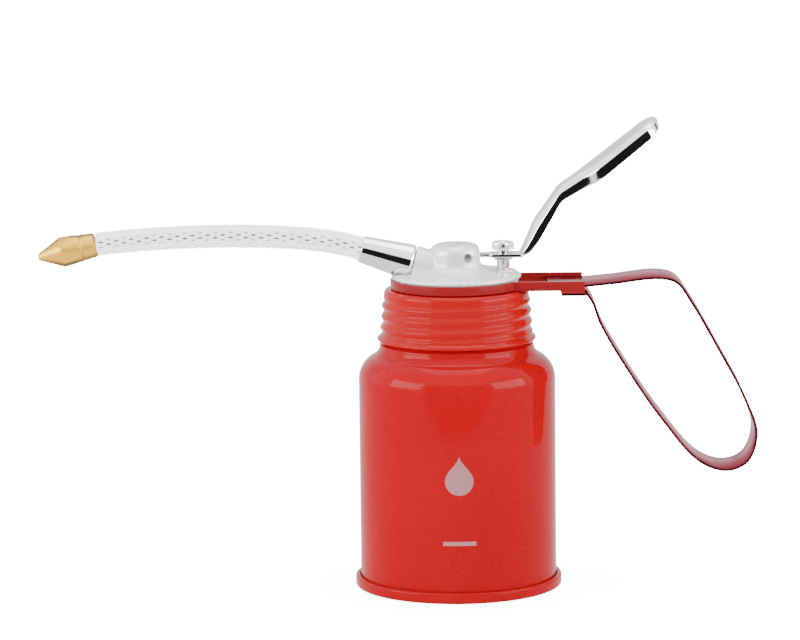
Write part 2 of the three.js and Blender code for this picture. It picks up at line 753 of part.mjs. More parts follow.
function hoseSection(path, steps) {
  const section = new THREE.Shape();
  section.absarc(0, 0, HOSE_RADIUS, 0, 2 * Math.PI, false);
  const bore = new THREE.Path();
  bore.absarc(0, 0, HOSE_BORE, 0, 2 * Math.PI, true);
  section.holes.push(bore);
  const curveSegments = HOSE_FACETS / 2;
  return new THREE.ExtrudeGeometry(section, { steps, curveSegments, bevelEnabled: false, extrudePath: path });
}

function hoseRoot() {
  const path = new THREE.CurvePath();
  path.add(new THREE.LineCurve3(alongSpout(0.3), hoseStart));
  path.add(new HoseSection(0, bends[0] - BEND_GAP));
  return hoseSection(path, 8);
}

// Nozzle, upright with its tip at the top: barb, collar, hexagon and a long faceted cone.
function spoutNozzle() {
  const bore = 0.7;
  const barb = 1.8;
  const barbBottom = -4.5;
  const collar = 4.55;
  const groove = 4.4;
  const shoulder = 5.3;
  const body = solid(turned([
    [bore, barbBottom],
    [barb - 0.5, barbBottom],
    [barb, -2.5],
    [barb - 0.3, -2.3],
    [barb, 0],
    [HOSE_RADIUS, 0.1],
    [collar, 4.8],
    [groove, 5],
    [groove, 5.3],
    [collar, 5.5],
    [shoulder, 11.8],
    [1.2, NOZZLE_LENGTH - 0.4],
    [1, NOZZLE_LENGTH],
    [bore, NOZZLE_LENGTH],
    [bore, barbBottom],
  ], 18));
  const acrossFlats = 9.6;
  const plug = 0.1;                      // smaller than the bore, so the nut's hole leaves no trace
  const hexagon = solid(hexNut(acrossFlats, plug, barbBottom - 1, NOZZLE_LENGTH + 1));
  return geometryOf(body.intersect(hexagon));
}

// ---------------------------------------------------------------- assembly

const oilCan = new THREE.Group();

oilCan.add(
  piece('can_body', canBody(), 'redPaint'),
  piece('can_bottom', canBottom(), 'redPaint'),
  piece('cap_gasket', capGasket(), 'rubber'),
  piece('screw_cap', screwCap(), 'redPaint'),
  piece('handle_bracket', handleBracket(), 'redPaint'),
  piece('handle_strap', handleStrap(), 'strapPaint'),
  piece('pump_head', pumpHead(), 'casting'),
);

const pump = new THREE.Group();
pump.position.x = PUMP_X;
pump.add(
  piece('pump_barrel', pumpBarrel(), 'steel'),
  piece('barrel_nut', hexNut(11.6, SPIGOT_RADIUS + RUNNING_GAP, 97.8, CAP_TOP - SHEET - 0.2), 'steel'),
  piece('gland_seal', glandSeal(), 'rubber'),
  piece('plunger_rod', plungerRod(), 'chrome'),
  piece('lever_nut', leverNut(), 'chrome'),
  piece('piston', piston(), 'brass'),
  piece('piston_cup', pistonCup(), 'rubber'),
  piece('piston_ball', ball(1, 0.7, PISTON_BOTTOM + 1), 'steel'),
  piece('return_spring', returnSpring(), 'steel'),
  piece('valve_cage', valveCage(), 'brass'),
  piece('valve_seat', valveSeat(), 'brass'),
  piece('inlet_ball', ball(1.5, 1, BARREL_BOTTOM - 0.1), 'steel'),
  piece('dip_tube', ring(1.9, 2.9, 3.6, 73.8), 'clearTube'),
);
oilCan.add(pump);

const hinge = new THREE.Group();
hinge.position.set(PIVOT_X, 0, PIVOT_Z);
hinge.add(piece('lever_pin', leverPin(), 'steel'), piece('lever', lever(), 'chrome'));
oilCan.add(hinge);

const outlet = new THREE.Group();
outlet.position.copy(OUTLET);
outlet.rotation.y = SPOUT_ANGLE - Math.PI / 2;
outlet.add(piece('spout_nipple', spoutNipple(), 'brass'), piece('spout_ferrule', spoutFerrule(), 'chrome'));
oilCan.add(outlet);

oilCan.add(piece('hose_root', hoseRoot(), 'hose'));
bends.forEach((bend, i) => {
  const end = i + 1 < bends.length ? bends[i + 1] - BEND_GAP : hoseLength - NOZZLE_GAP;
  const path = new HoseSection(bend + BEND_GAP, end);
  oilCan.add(piece(`hose_section_${i + 1}`, hoseSection(path, 4), 'hose'));
});

const nozzle = new THREE.Group();
nozzle.position.copy(hoseLine.getPoint(1));
nozzle.rotation.y = -NOZZLE_ANGLE - Math.PI / 2;
nozzle.add(piece('spout_nozzle', spoutNozzle(), 'brass'));
oilCan.add(nozzle);

oilCan.position.z = -(TABLE_LEVEL + BASE_RECESS);

export default oilCan;
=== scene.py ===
# Looks for the hand pump oil can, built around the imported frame.
# Lengths in the profiles are millimetres, and heights are counted from the frame source's own level,
# which is a little above the floor that the can stands on.

import json
import math

import bmesh
import bpy
from mathutils import Matrix, Vector


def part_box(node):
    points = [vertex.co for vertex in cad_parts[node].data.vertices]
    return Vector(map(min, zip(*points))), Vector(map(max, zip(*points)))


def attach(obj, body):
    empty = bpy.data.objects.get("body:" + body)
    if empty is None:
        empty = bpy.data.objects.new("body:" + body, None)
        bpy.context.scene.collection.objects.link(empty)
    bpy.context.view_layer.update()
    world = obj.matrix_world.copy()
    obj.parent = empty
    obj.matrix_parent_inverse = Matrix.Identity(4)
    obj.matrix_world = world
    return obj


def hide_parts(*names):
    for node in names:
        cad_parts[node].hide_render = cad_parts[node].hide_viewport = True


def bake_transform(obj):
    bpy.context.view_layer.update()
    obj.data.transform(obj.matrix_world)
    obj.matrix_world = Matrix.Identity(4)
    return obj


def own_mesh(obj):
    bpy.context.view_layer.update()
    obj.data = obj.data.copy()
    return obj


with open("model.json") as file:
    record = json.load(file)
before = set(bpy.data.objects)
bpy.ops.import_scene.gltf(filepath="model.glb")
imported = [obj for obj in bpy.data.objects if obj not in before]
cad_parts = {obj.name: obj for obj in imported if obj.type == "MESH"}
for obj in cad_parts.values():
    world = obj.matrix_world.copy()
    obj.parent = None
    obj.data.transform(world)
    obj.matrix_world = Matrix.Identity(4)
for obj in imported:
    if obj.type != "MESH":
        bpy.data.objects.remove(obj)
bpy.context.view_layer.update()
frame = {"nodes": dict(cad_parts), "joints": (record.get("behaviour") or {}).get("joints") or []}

MM = 0.001
FOOT = -1.4  # height of the floor
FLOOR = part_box("can_bottom")[0].z  # level of the floor, which the seam's foot stands on
DATUM = FLOOR - FOOT * MM  # level of height 0


def height_of(level):
    """A level in metres as a height in millimetres."""
    return level / MM - DATUM / MM


def heights(node):
    """The heights at which a frame node starts and ends."""
    low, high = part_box(node)
    return height_of(low.z), height_of(high.z)


BODY_RADIUS = 33.5
SHEET = 0.5  # thickness of the can's and the cap's steel
SHOULDER_START = 70.0
SHOULDER_RADIUS = 9.0
HOLLOW_RADIUS = 4.5
COLLAR_RADIUS = 26.2
COLLAR_TOP = 82.2
NECK_TOP = heights("can_body")[1]
PITCH = 3.7
THREAD_DEPTH = 0.4
THREAD_GAP = 0.45  # room between the cap's thread and the neck's
TAPER = 0.08  # growth of the cap's radius for each millimetre down
CAP_WALL_TOP = 98.0
CAP_WALL_RADIUS = 24.75
CAP_TOP = heights("screw_cap")[1]
BARREL_HOLE = 5.2  # radius of the hole that the pump barrel passes through

JOINTS = {joint["name"]: joint for joint in frame["joints"]}
PIVOT = Vector(JOINTS["lever_press"]["pos_m"])
CROSSWISE = Vector((0, 1, 0))
PUMP_X = (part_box("plunger_rod")[0].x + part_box("plunger_rod")[1].x) / 2 / MM


# ---------- mesh helpers

def add_object(name, vertices, faces, material=None, smooth_angle=35.0):
    mesh = bpy.data.meshes.new(name)
    mesh.from_pydata([tuple(v) for v in vertices], [], faces)
    build = bmesh.new()
    build.from_mesh(mesh)
    bmesh.ops.remove_doubles(build, verts=build.verts, dist=1e-7)
    bmesh.ops.recalc_face_normals(build, faces=build.faces)
    build.to_mesh(mesh)
    build.free()
    obj = bpy.data.objects.new(name, mesh)
    bpy.context.scene.collection.objects.link(obj)
    if material:
        mesh.materials.append(material)
    shade(obj, smooth_angle)
    return obj


def strip_faces(rows, count, closed=True, base=0):
    """Quads between rows of count vertices each; closed joins the ends of every row."""
    faces = []
    for i in range(rows - 1):
        for k in range(count if closed else count - 1):
            a, b = base + i * count + k, base + i * count + (k + 1) % count
            faces.append((a, b, b + count, a + count))
    return faces


def end_caps(rows, count, base=0):
    """The faces that close the first and the last of the rows."""
    last = base + (rows - 1) * count
    return [tuple(reversed(range(base, base + count))), tuple(range(last, last + count))]


def shade(obj, smooth_angle=35.0):
    obj.data.polygons.foreach_set("use_smooth", [True] * len(obj.data.polygons))
    obj.data.set_sharp_from_angle(angle=math.radians(smooth_angle))


def apply_modifiers(obj, smooth_angle=35.0):
    graph = bpy.context.evaluated_depsgraph_get()
    mesh = bpy.data.meshes.new_from_object(obj.evaluated_get(graph))
    obj.modifiers.clear()
    obj.data = mesh
    shade(obj, smooth_angle)
    return obj


def combine(obj, other, operation):
    """Joins, cuts or intersects obj with other, which is used up."""
    modifier = obj.modifiers.new("bool", "BOOLEAN")
    modifier.operation = operation
    modifier.solver = "EXACT"
    modifier.object = other
    apply_modifiers(obj)
    bpy.data.objects.remove(other)


def join(obj, other):
    combine(obj, other, "UNION")


def cut(obj, other):
    combine(obj, other, "DIFFERENCE")


def bevel(obj, width, segments=3, angle=30.0):
    modifier = obj.modifiers.new("bevel", "BEVEL")
    modifier.width = width * MM
    modifier.segments = segments
    modifier.limit_method = "ANGLE"
    modifier.angle_limit = math.radians(angle)
    modifier.harden_normals = False
    return apply_modifiers(obj, 50.0)


def remesh(obj, voxel, smoothing):
    """Turns joined blocks into one casting with soft inner corners."""
    modifier = obj.modifiers.new("remesh", "REMESH")
    modifier.mode = "VOXEL"
    modifier.voxel_size = voxel * MM
    smooth = obj.modifiers.new("smooth", "SMOOTH")
    smooth.factor = 0.5
    smooth.iterations = smoothing
    return apply_modifiers(obj, 60.0)


def arc(centre_x, centre_y, radius, start, end, steps):
    """Outline points of an arc between two angles in degrees."""
    angles = [math.radians(start + (end - start) * i / steps) for i in range(steps + 1)]
    return [(centre_x + radius * math.cos(a), centre_y + radius * math.sin(a)) for a in angles]


def circle(radius, count):
    return arc(0, 0, radius, 0, 360, count)[:-1]


def hexagon(across_flats, turn):
    """Outline of a hexagon that faces along x with a flat when turn, in degrees, is 0."""
    return arc(0, 0, across_flats / math.sqrt(3), 30 + turn, 390 + turn, 6)[:-1]


def fillet(corners, steps=6):
    """Outline points with each (x, y, radius) corner rounded; the outline closes on itself."""
    points = []
    count = len(corners)
    for i, (x, y, radius) in enumerate(corners):
        corner = Vector((x, y))
        if radius <= 0:
            points.append((x, y))
            continue
        before = Vector(corners[i - 1][:2]) - corner
        after = Vector(corners[(i + 1) % count][:2]) - corner
        half = before.angle(after) / 2
        reach = min(radius / math.tan(half), before.length * 0.49, after.length * 0.49)
        start = corner + before.normalized() * reach
        end = corner + after.normalized() * reach
        middle = (before.normalized() + after.normalized()).normalized()
        centre = corner + middle * reach / math.cos(half)
        first_spoke = start - centre
        turn = first_spoke.angle_signed(end - centre)
        for k in range(steps + 1):
            spot = centre + Matrix.Rotation(-turn * k / steps, 2) @ first_spoke
            points.append((spot.x, spot.y))
    return points


def lathe(name, profile, material, facets=160, centre_x=0.0, thread=None):
    """A closed profile of (radius, height[, thread share]) turned about an upright axis."""
    vertices = []
    for i in range(facets):
        angle = 2 * math.pi * i / facets
        for point in profile:
            radius, height = point[0], point[1]
            if thread and len(point) > 2:
                radius += thread(height, angle) * point[2]
            vertices.append((
                (centre_x + radius * math.cos(angle)) * MM,
                radius * math.sin(angle) * MM,
                DATUM + height * MM,
            ))
    total = len(vertices)
    faces = [tuple(vertex % total for vertex in face) for face in strip_faces(facets + 1, len(profile))]
    obj = add_object(name, vertices, faces, material)
    drop_thin_faces(obj)
    return obj


def drop_thin_faces(obj):
    """Drops faces that have shrunk to a line where a profile meets its axis."""
    build = bmesh.new()
    build.from_mesh(obj.data)
    bmesh.ops.dissolve_degenerate(build, dist=1e-8, edges=build.edges)
    bmesh.ops.recalc_face_normals(build, faces=build.faces)
    build.to_mesh(obj.data)
    build.free()
    shade(obj)


def sweep(name, centres, sides, ups, section, material):
    """A section of (side, up) points in millimetres carried along centres, with both ends closed."""
    vertices = []
    for centre, side, up in zip(centres, sides, ups):
        for u, v in section:
            vertices.append(centre + side * (u * MM) + up * (v * MM))
    shape = len(centres), len(section)
    return add_object(name, vertices, strip_faces(*shape) + end_caps(*shape), material)


def prism(name, outline, low, high, material):
    """An outline of (x, y) points pulled from one level to another."""
    vertices = [Vector((x * MM, y * MM, level * MM)) for level in (low, high) for x, y in outline]
    shape = 2, len(outline)
    return add_object(name, vertices, end_caps(*shape) + strip_faces(*shape), material)


def move(obj, offset):
    """Shifts obj in its mesh."""
    obj.data.transform(Matrix.Translation(offset))
    return obj


def solid_bar(radius, start, end, facets=48):
    """A plain round bar between two points in metres."""
    along = (end - start).normalized()
    side = along.orthogonal().normalized()
    up = along.cross(side)
    return sweep("cutter", [start, end], [side] * 2, [up] * 2, circle(radius, facets), None)


def pump_bar(radius, low, high, facets=64):
    """A round bar on the pump's axis between two heights."""
    start = Vector((PUMP_X * MM, 0, DATUM + low * MM))
    end = Vector((PUMP_X * MM, 0, DATUM + high * MM))
    return solid_bar(radius, start, end, facets)


def box_cutter(low, high):
    """A block between two (x, y, height) corners."""
    outline = [(low[0], low[1]), (high[0], low[1]), (high[0], high[1]), (low[0], high[1])]
    return move(prism("cutter", outline, low[2], high[2], None), Vector((0, 0, DATUM)))


# ---------- materials

class Wiring:
    """A small wrapper that keeps the wiring of a node tree readable."""

    COLOUR_INPUTS = (6, 7)  # a mix node's two colours
    COLOUR_OUTPUT = 2

    def __init__(self, tree):
        self.tree = tree

    def node(self, kind, **values):
        node = self.tree.nodes.new(kind)
        for key, value in values.items():
            if key in node.inputs:
                node.inputs[key].default_value = value
            else:
                setattr(node, key, value)
        return node

    def link(self, source, target):
        self.tree.links.new(source, target)

    def ramp(self, value, low, high, start=0.35, end=0.65, style="LINEAR"):
        """Goes from low to high as value goes from start to end; low and high are numbers or outputs."""
        ramp = self.node("ShaderNodeMapRange", interpolation_type=style)
        for name, amount in (("From Min", start), ("From Max", end), ("To Min", low), ("To Max", high)):
            if isinstance(amount, (int, float)):
                ramp.inputs[name].default_value = amount
            else:
                self.link(amount, ramp.inputs[name])
        self.link(value, ramp.inputs["Value"])
        return ramp.outputs["Result"]


class Shader(Wiring):
    """A material with a principled surface."""

    def __init__(self, name):
        self.material = bpy.data.materials.new(name)
        self.material.use_nodes = True
        super().__init__(self.material.node_tree)
        self.surface = self.tree.nodes["Principled BSDF"]
        self.output = self.tree.nodes["Material Output"]

    def set(self, **values):
        for key, value in values.items():
            self.surface.inputs[key.replace("_", " ")].default_value = value

    def feed(self, name, source):
        """Lets another node's output drive one of the surface's inputs."""
        self.link(source, self.surface.inputs[name])

    def noise(self, scale, detail=4.0, stretch=(1, 1, 1)):
        place = self.node("ShaderNodeTexCoord")
        mapping = self.node("ShaderNodeMapping", Scale=stretch)
        noise = self.node("ShaderNodeTexNoise", Scale=scale, Detail=detail)
        self.link(place.outputs["Object"], mapping.inputs["Vector"])
        self.link(mapping.outputs["Vector"], noise.inputs["Vector"])
        return noise.outputs["Fac"]

    def rim(self, start, end, low=0.0, high=1.0, blend=0.5):
        """Goes from low where the surface faces the viewer to high where it turns away."""
        weight = self.node("ShaderNodeLayerWeight", Blend=blend)
        return self.ramp(weight.outputs["Facing"], low, high, start, end)

    def mix(self, factor, *colours):
        """Blends two colours; each is a tuple or another node's output."""
        mix = self.node("ShaderNodeMix", data_type="RGBA")
        for socket, colour in zip(self.COLOUR_INPUTS, colours):
            if isinstance(colour, tuple):
                mix.inputs[socket].default_value = (*colour, 1)
            else:
                self.link(colour, mix.inputs[socket])
        self.link(factor, mix.inputs["Factor"])
        return mix.outputs[self.COLOUR_OUTPUT]

    def mix_shaders(self, share, first, second):
        mix = self.node("ShaderNodeMixShader")
        for socket, source in zip(mix.inputs, (share, first, second)):
            self.link(source, socket)
        return mix.outputs["Shader"]

    def colour(self, factor, *colours):
        self.feed("Base Color", self.mix(factor, *colours))

    def roughness(self, scale, detail, low, high, name="Roughness"):
        self.feed(name, self.ramp(self.noise(scale, detail), low, high))

    def bump(self, height, distance, strength):
        bump = self.node("ShaderNodeBump", Strength=strength, Distance=distance)
        self.link(height, bump.inputs["Height"])
        self.feed("Normal", bump.outputs["Normal"])


def red_paint(name, tone=(0.42, 0.0002, 0.006), dark=(0.36, 0.0002, 0.004), gloss=1.17):
    """Gloss enamel; gloss is the clear coat's index of refraction."""
    look = Shader(name)
    look.set(Roughness=0.3, Specular_IOR_Level=0.0, Coat_Weight=1.0, Coat_IOR=gloss)
    patches = look.ramp(look.noise(18, 3), 0.0, 1.0, 0.3, 0.7)
    look.colour(patches, tone, dark)
    look.roughness(60, 5, 0.04, 0.09, "Coat Roughness")
    look.bump(look.noise(420, 3), 0.00003, 0.3)
    return look.material


def metal(name, colour, dull, roughness, grain=900, stretch=(1, 1, 1), bump=0.00001):
    look = Shader(name)
    look.set(Metallic=1.0)
    smudge = look.ramp(look.noise(90, 6), 0.0, 1.0, 0.4, 0.75)
    look.colour(smudge, colour, dull)
    look.roughness(150, 6, roughness * 0.7, roughness * 1.5)
    look.bump(look.noise(grain, 4, stretch), bump, 0.5)
    return look.material


def strap_paint():
    """Thin see-through enamel over bright steel: dark face on, pale where light glances off it."""
    look = Shader("strap_paint")
    look.set(Metallic=0.93, Specular_Tint=(1.0, 0.50, 0.57, 1))
    patches = look.ramp(look.noise(40, 4), 0.0, 1.0, 0.35, 0.7)
    look.colour(patches, (0.13, 0.016, 0.022), (0.10, 0.012, 0.017))
    look.roughness(160, 5, 0.14, 0.26)
    look.bump(look.noise(420, 3), 0.00002, 0.3)
    return look.material


def brass():
    """Turned brass with smudges, and painted shade: its colour turns dark brown towards glancing angles."""
    look = Shader("brass")
    look.set(Metallic=0.4, Specular_Tint=(0.35, 0.20, 0.08, 1))
    smudge = look.ramp(look.noise(110, 6), 0.0, 1.0, 0.4, 0.75)
    brass_tone = look.mix(smudge, (0.95, 0.55, 0.06), (0.78, 0.40, 0.035))
    # painted shade: the base colour goes dark brown where the surface turns away from the viewer
    look.colour(look.rim(0.18, 0.62), brass_tone, (0.14, 0.06, 0.02))
    look.roughness(150, 6, 0.26, 0.40)
    look.bump(look.noise(700, 4, (6, 1, 6)), 0.00003, 0.5)
    return look.material


def casting():
    look = Shader("cast_metal")
    look.set(Metallic=0.25)
    patches = look.ramp(look.noise(60, 5), 0.0, 1.0)
    look.colour(patches, (0.95, 0.95, 0.96), (0.86, 0.86, 0.88))
    look.roughness(220, 6, 0.2, 0.38)
    look.bump(look.noise(1400, 5), 0.00004, 0.5)
    return look.material


def rubber():
    look = Shader("rubber")
    look.set(Roughness=0.75)
    look.colour(look.noise(300, 4), (0.014, 0.014, 0.015), (0.03, 0.03, 0.032))
    look.bump(look.noise(2500, 4), 0.00005, 0.6)
    return look.material


def clear_tube():
    look = Shader("clear_tube")
    look.set(Roughness=0.2, Transmission_Weight=0.6, IOR=1.35)
    look.colour(look.noise(120, 3), (0.80, 0.84, 0.80), (0.70, 0.76, 0.70))
    look.bump(look.noise(600, 3), 0.00003, 0.4)
    return look.material


HOSE_GLOW = 1.5  # stands in for light scattered inside the clear wall


def yarn():
    look = Shader("hose_yarn")
    look.set(Roughness=0.5, Sheen_Weight=0.2, Emission_Color=(1, 1, 1, 1), Emission_Strength=HOSE_GLOW)
    look.colour(look.noise(700, 5), (0.92, 0.93, 0.94), (0.82, 0.83, 0.85))
    look.bump(look.noise(4000, 4), 0.00008, 0.6)
    return look.material


def hose_core():
    """The inner tube, with painted shade and painted light: its colour is dark where it faces the viewer,
    along the middle, and pale and glowing towards both edges.
    """
    look = Shader("hose_core")
    look.set(Roughness=0.35, Emission_Color=(1, 1, 1, 1))
    # painted shade along the middle and painted light, pale and glowing, towards the edges
    pale = look.rim(0.04, 0.22)
    look.colour(pale, (0.03, 0.03, 0.035), (0.86, 0.87, 0.88))
    look.feed("Emission Strength", look.ramp(pale, 0.0, HOSE_GLOW, 0.0, 1.0))
    look.bump(look.noise(900, 3), 0.00003, 0.4)
    return look.material


def hose_skin():
    """Clear PVC over the braid: mostly see-through, with a gloss that grows towards the rim."""
    look = Shader("hose")
    look.set(Roughness=0.12, IOR=1.45)
    look.colour(look.noise(90, 4), (0.88, 0.89, 0.90), (0.80, 0.81, 0.83))
    look.bump(look.noise(260, 3), 0.0001, 0.5)
    clear = look.node("ShaderNodeBsdfTransparent", Color=(0.97, 0.975, 0.98, 1))
    share = look.rim(0.0, 1.0, 0.22, 0.75, 0.35)
    both = look.mix_shaders(share, clear.outputs["BSDF"], look.surface.outputs["BSDF"])
    look.link(both, look.output.inputs["Surface"])
    return look.material


def print_ink():
    look = Shader("print_ink")
    look.set(Roughness=0.4, Coat_Weight=0.6, Coat_Roughness=0.1)
    look.colour(look.noise(300, 4), (0.40, 0.17, 0.18), (0.34, 0.13, 0.14))
    return look.material


RED = red_paint("red_paint")
CAP_RED = red_paint("cap_paint", (0.45, 0.004, 0.006), (0.40, 0.003, 0.005), 1.2)
BRACKET_RED = red_paint("bracket_paint", (0.28, 0.016, 0.018), (0.24, 0.012, 0.014), 1.2)
STRAP_RED = strap_paint()
CHROME = metal("chrome", (0.86, 0.87, 0.88), (0.74, 0.75, 0.77), 0.07)
STEEL = metal("steel", (0.62, 0.63, 0.65), (0.5, 0.5, 0.52), 0.25, 500, (1, 1, 12), 0.00002)
BRASS = brass()
CAST = casting()
RUBBER = rubber()
TUBE = clear_tube()
YARN = yarn()
CORE = hose_core()
SKIN = hose_skin()
INK = print_ink()


def finish_piece(obj, body, slot, *nodes):
    """Puts a finished piece on its body, in place of the frame nodes named; slot is not used."""
    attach(obj, body)
    if nodes:
        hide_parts(*nodes)


# ---------- the can

def cap_radius(height):
    return CAP_WALL_RADIUS + TAPER * (CAP_WALL_TOP - height)


def neck_radius(height):
    return cap_radius(height) - SHEET - THREAD_GAP


def thread_wave(height, angle):
    """The same right-hand helix as the frame's thread, counted from the frame's first facet."""
    return THREAD_DEPTH * math.cos(2 * math.pi * height / PITCH - (angle + math.pi / 2))


def threaded_wall(radius_at, start, end, steps=72, fade=0.08):
    """Wall points whose thread swells in and out at the two ends."""
    points = []
    for i in range(steps + 1):
        t = i / steps
        height = start + (end - start) * t
        share = min(1.0, t / fade, (1 - t) / fade)
        points.append((radius_at(height), height, share))
    return points


def shoulder_line(depth):
    """The shoulder's round and the hollow above it, at a depth inside the outer face."""
    round_centre = BODY_RADIUS - SHOULDER_RADIUS
    hollow_centre = COLLAR_RADIUS + HOLLOW_RADIUS
    across = hollow_centre - round_centre
    rise = math.sqrt((SHOULDER_RADIUS + HOLLOW_RADIUS) ** 2 - across ** 2)
    turn = math.degrees(math.atan2(rise, across))
    shoulder = arc(round_centre, SHOULDER_START, SHOULDER_RADIUS - depth, 0, turn, 26)
    hollow = arc(hollow_centre, SHOULDER_START + rise, HOLLOW_RADIUS + depth, 180 + turn, 180, 12)
    return shoulder + hollow[1:]


def build_can():
    """The body, shoulder, collar and threaded neck: up the outside, over the rim and down the inside."""
    collar, neck, wall_foot = COLLAR_RADIUS, neck_radius(COLLAR_TOP), FOOT + 0.9
    rim, mouth = neck_radius(NECK_TOP) - 0.3, 22.9
    profile = [(BODY_RADIUS - SHEET, wall_foot), (BODY_RADIUS, wall_foot)]
    profile += shoulder_line(0)
    profile += [(collar - 0.15, COLLAR_TOP), (collar - 0.5, COLLAR_TOP + 0.1)]
    profile += [(neck + 0.35, COLLAR_TOP + 0.4), (neck + 0.1, COLLAR_TOP + 0.8)]
    profile += threaded_wall(neck_radius, COLLAR_TOP + 1.4, NECK_TOP - 1.5)
    profile += [(rim, NECK_TOP - 0.8), (rim, NECK_TOP - 0.3), (rim - 0.15, NECK_TOP)]
    profile += [(mouth + 0.1, NECK_TOP), (mouth, NECK_TOP - 0.2), (mouth, NECK_TOP - 1.5)]
    profile += [(neck - 0.8, COLLAR_TOP - 0.5), (collar - SHEET, COLLAR_TOP - 0.6)]
    profile += reversed(shoulder_line(SHEET))
    can = lathe("can_shell", profile, RED, 192, thread=thread_wave)
    finish_piece(can, "can", "red_paint", "can_body")


def build_bottom():
    """The bottom panel, set up inside the seam that is rolled round the body's lower edge."""
    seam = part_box("can_bottom")[1].x / MM
    inner, outer = BODY_RADIUS - SHEET - 0.2, BODY_RADIUS + 0.2
    panel, top, groove = FOOT + 2.6, FOOT + 3.8, FOOT + 0.6
    profile = fillet([
        (0.0, panel, 0), (inner - 2.0, panel, 0.6), (inner - 0.9, FOOT, 0.5), (seam, FOOT, 0.9),
        (seam, top, 0.9), (outer, top, 0.3), (outer, groove, 0.1),
        (inner, groove, 0.1), (inner, panel + SHEET, 0.2), (0.0, panel + SHEET, 0),
    ])
    bottom = lathe("can_base", profile, RED, 192)
    finish_piece(bottom, "can", "red_paint", "can_bottom")


def build_cap():
    """The screw cap, with a bead rolled at its lower edge and a hole for the pump barrel."""
    bead, bead_height, bead_radius = 0.7, 84, 27
    wall_bottom = bead_height + bead + 0.6
    corner, corner_centre, underside = 1.6, CAP_WALL_RADIUS - 1.7, CAP_TOP - 0.6
    outside = threaded_wall(cap_radius, wall_bottom, CAP_WALL_TOP)
    inside = threaded_wall(cap_radius, CAP_WALL_TOP, wall_bottom)
    profile = [(0, underside), (24.05, underside), (24.25, underside - 0.4)]
    profile += [(radius - SHEET, height, share) for radius, height, share in inside]
    profile += arc(bead_radius - bead, bead_height, bead, 180, 420, 12)
    profile += outside
    profile += arc(corner_centre, CAP_TOP - corner, corner, 0, 90, 9)
    profile += [(0, CAP_TOP)]
    cap = lathe("cap_shell", profile, CAP_RED, 192, thread=thread_wave)
    cut(cap, pump_bar(BARREL_HOLE, 98, 103, 48))
    finish_piece(cap, "head", "red_paint", "screw_cap")


def patch(name, half_width, low, high, rows, columns, material):
    """A thin printed mark on the can's front; half_width gives its half width at a share of its height."""
    skin = (BODY_RADIUS + 0.02) * MM
    vertices = []
    for i in range(rows + 1):
        t = i / rows
        half = half_width(t)
        level = DATUM + (low + (high - low) * t) * MM
        for k in range(columns + 1):
            angle = -math.pi / 2 + (2 * k / columns - 1) * half / BODY_RADIUS
            vertices.append((skin * math.cos(angle), skin * math.sin(angle), level))
    obj = add_object(name, vertices, strip_faces(rows + 1, columns + 1, closed=False), material)
    solid = obj.modifiers.new("solid", "SOLIDIFY")
    solid.thickness = 0.03 * MM
    solid.offset = 1
    return apply_modifiers(obj)


def drop_half_width(t):
    """An oil drop's half width: a round belly and a point that draws in above it."""
    belly, belly_top, least = 4.8, 0.36, 0.02
    if t < belly_top:
        return belly * math.sqrt(max(0.0, 1 - (t / belly_top - 1) ** 2)) + least
    rise = (t - belly_top) / (1 - belly_top)
    return belly * (0.5 + 0.5 * math.cos(math.pi * rise)) ** 0.85 + least


def bar_half_width(t):
    """A bar is as wide at every height."""
    return 5.6


def build_mark():
    """A plain oil drop and, below it, a plain bar."""
    finish_piece(patch("printed_drop", drop_half_width, 35.5, 49.0, 48, 16, INK), "can", "red_paint")
    finish_piece(patch("printed_capacity", bar_half_width, 18.4, 19.8, 2, 20, INK), "can", "red_paint")


# ---------- the handle

ARM_FLOOR = 101.05  # underside of the bracket's pan and arm
ARM_SHEET = 0.95
ARM_WALL_TOP = 104.2
ARM_PAD_START = 35.2  # where the thicker end of the arm begins
STRAP_WIDTH = 20.5
STRAP_SHEET = 0.95
STRAP_GAP = 0.1  # room between the strap and the arm


def through(points, steps):
    """A centripetal Catmull-Rom curve through points, as in the frame's strap."""
    out = []
    for i in range(len(points) - 1):
        p1, p2 = points[i], points[i + 1]
        p0 = points[i - 1] if i else p1 * 2 - p2
        p3 = points[i + 2] if i + 2 < len(points) else p2 * 2 - p1
        d0, d1, d2 = (max((b - a).length ** 0.5, 1e-6) for a, b in ((p0, p1), (p1, p2), (p2, p3)))
        t1 = ((p1 - p0) / d0 - (p2 - p0) / (d0 + d1) + (p2 - p1) / d1) * d1
        t2 = ((p2 - p1) / d1 - (p3 - p1) / (d1 + d2) + (p3 - p2) / d2) * d1
        for k in range(steps):
            t = k / steps
            h1, h2 = 2 * t ** 3 - 3 * t ** 2 + 1, t ** 3 - 2 * t ** 2 + t
            h3, h4 = -2 * t ** 3 + 3 * t ** 2, t ** 3 - t ** 2
            out.append(p1 * h1 + t1 * h2 + p2 * h3 + t2 * h4)
    out.append(points[-1])
    return out


def strap_line():
    """The strap's middle line in (x, height): out on the arm, round the loop and back under the pad."""
    arm_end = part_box("handle_bracket")[1].x / MM
    pad_bottom = heights("handle_bracket")[0]
    upper = ARM_FLOOR + ARM_SHEET + STRAP_GAP + STRAP_SHEET / 2
    lower = pad_bottom - STRAP_GAP - STRAP_SHEET / 2
    bend, upper_start, lower_end = arm_end + 1.1, 31, 35.5
    spots = [(bend, upper), (53, 103.4), (68.5, 104.9), (74.4, 103.3), (79.6, 96.2), (88.4, 80.6),
             (97.2, 63.8), (101.3, 51.2), (98.1, 41.6), (91, 38.8), (82, 42), (69.8, 56), (58.4, 72.7),
             (48.7, 89.5), (46.2, 96.4), (bend, lower)]
    line = [Vector((upper_start + (bend - upper_start) * k / 10, upper)) for k in range(10)]
    line += through([Vector(spot) for spot in spots], 16)
    line += [Vector((bend + (lower_end - bend) * k / 6, lower)) for k in range(1, 7)]
    return line


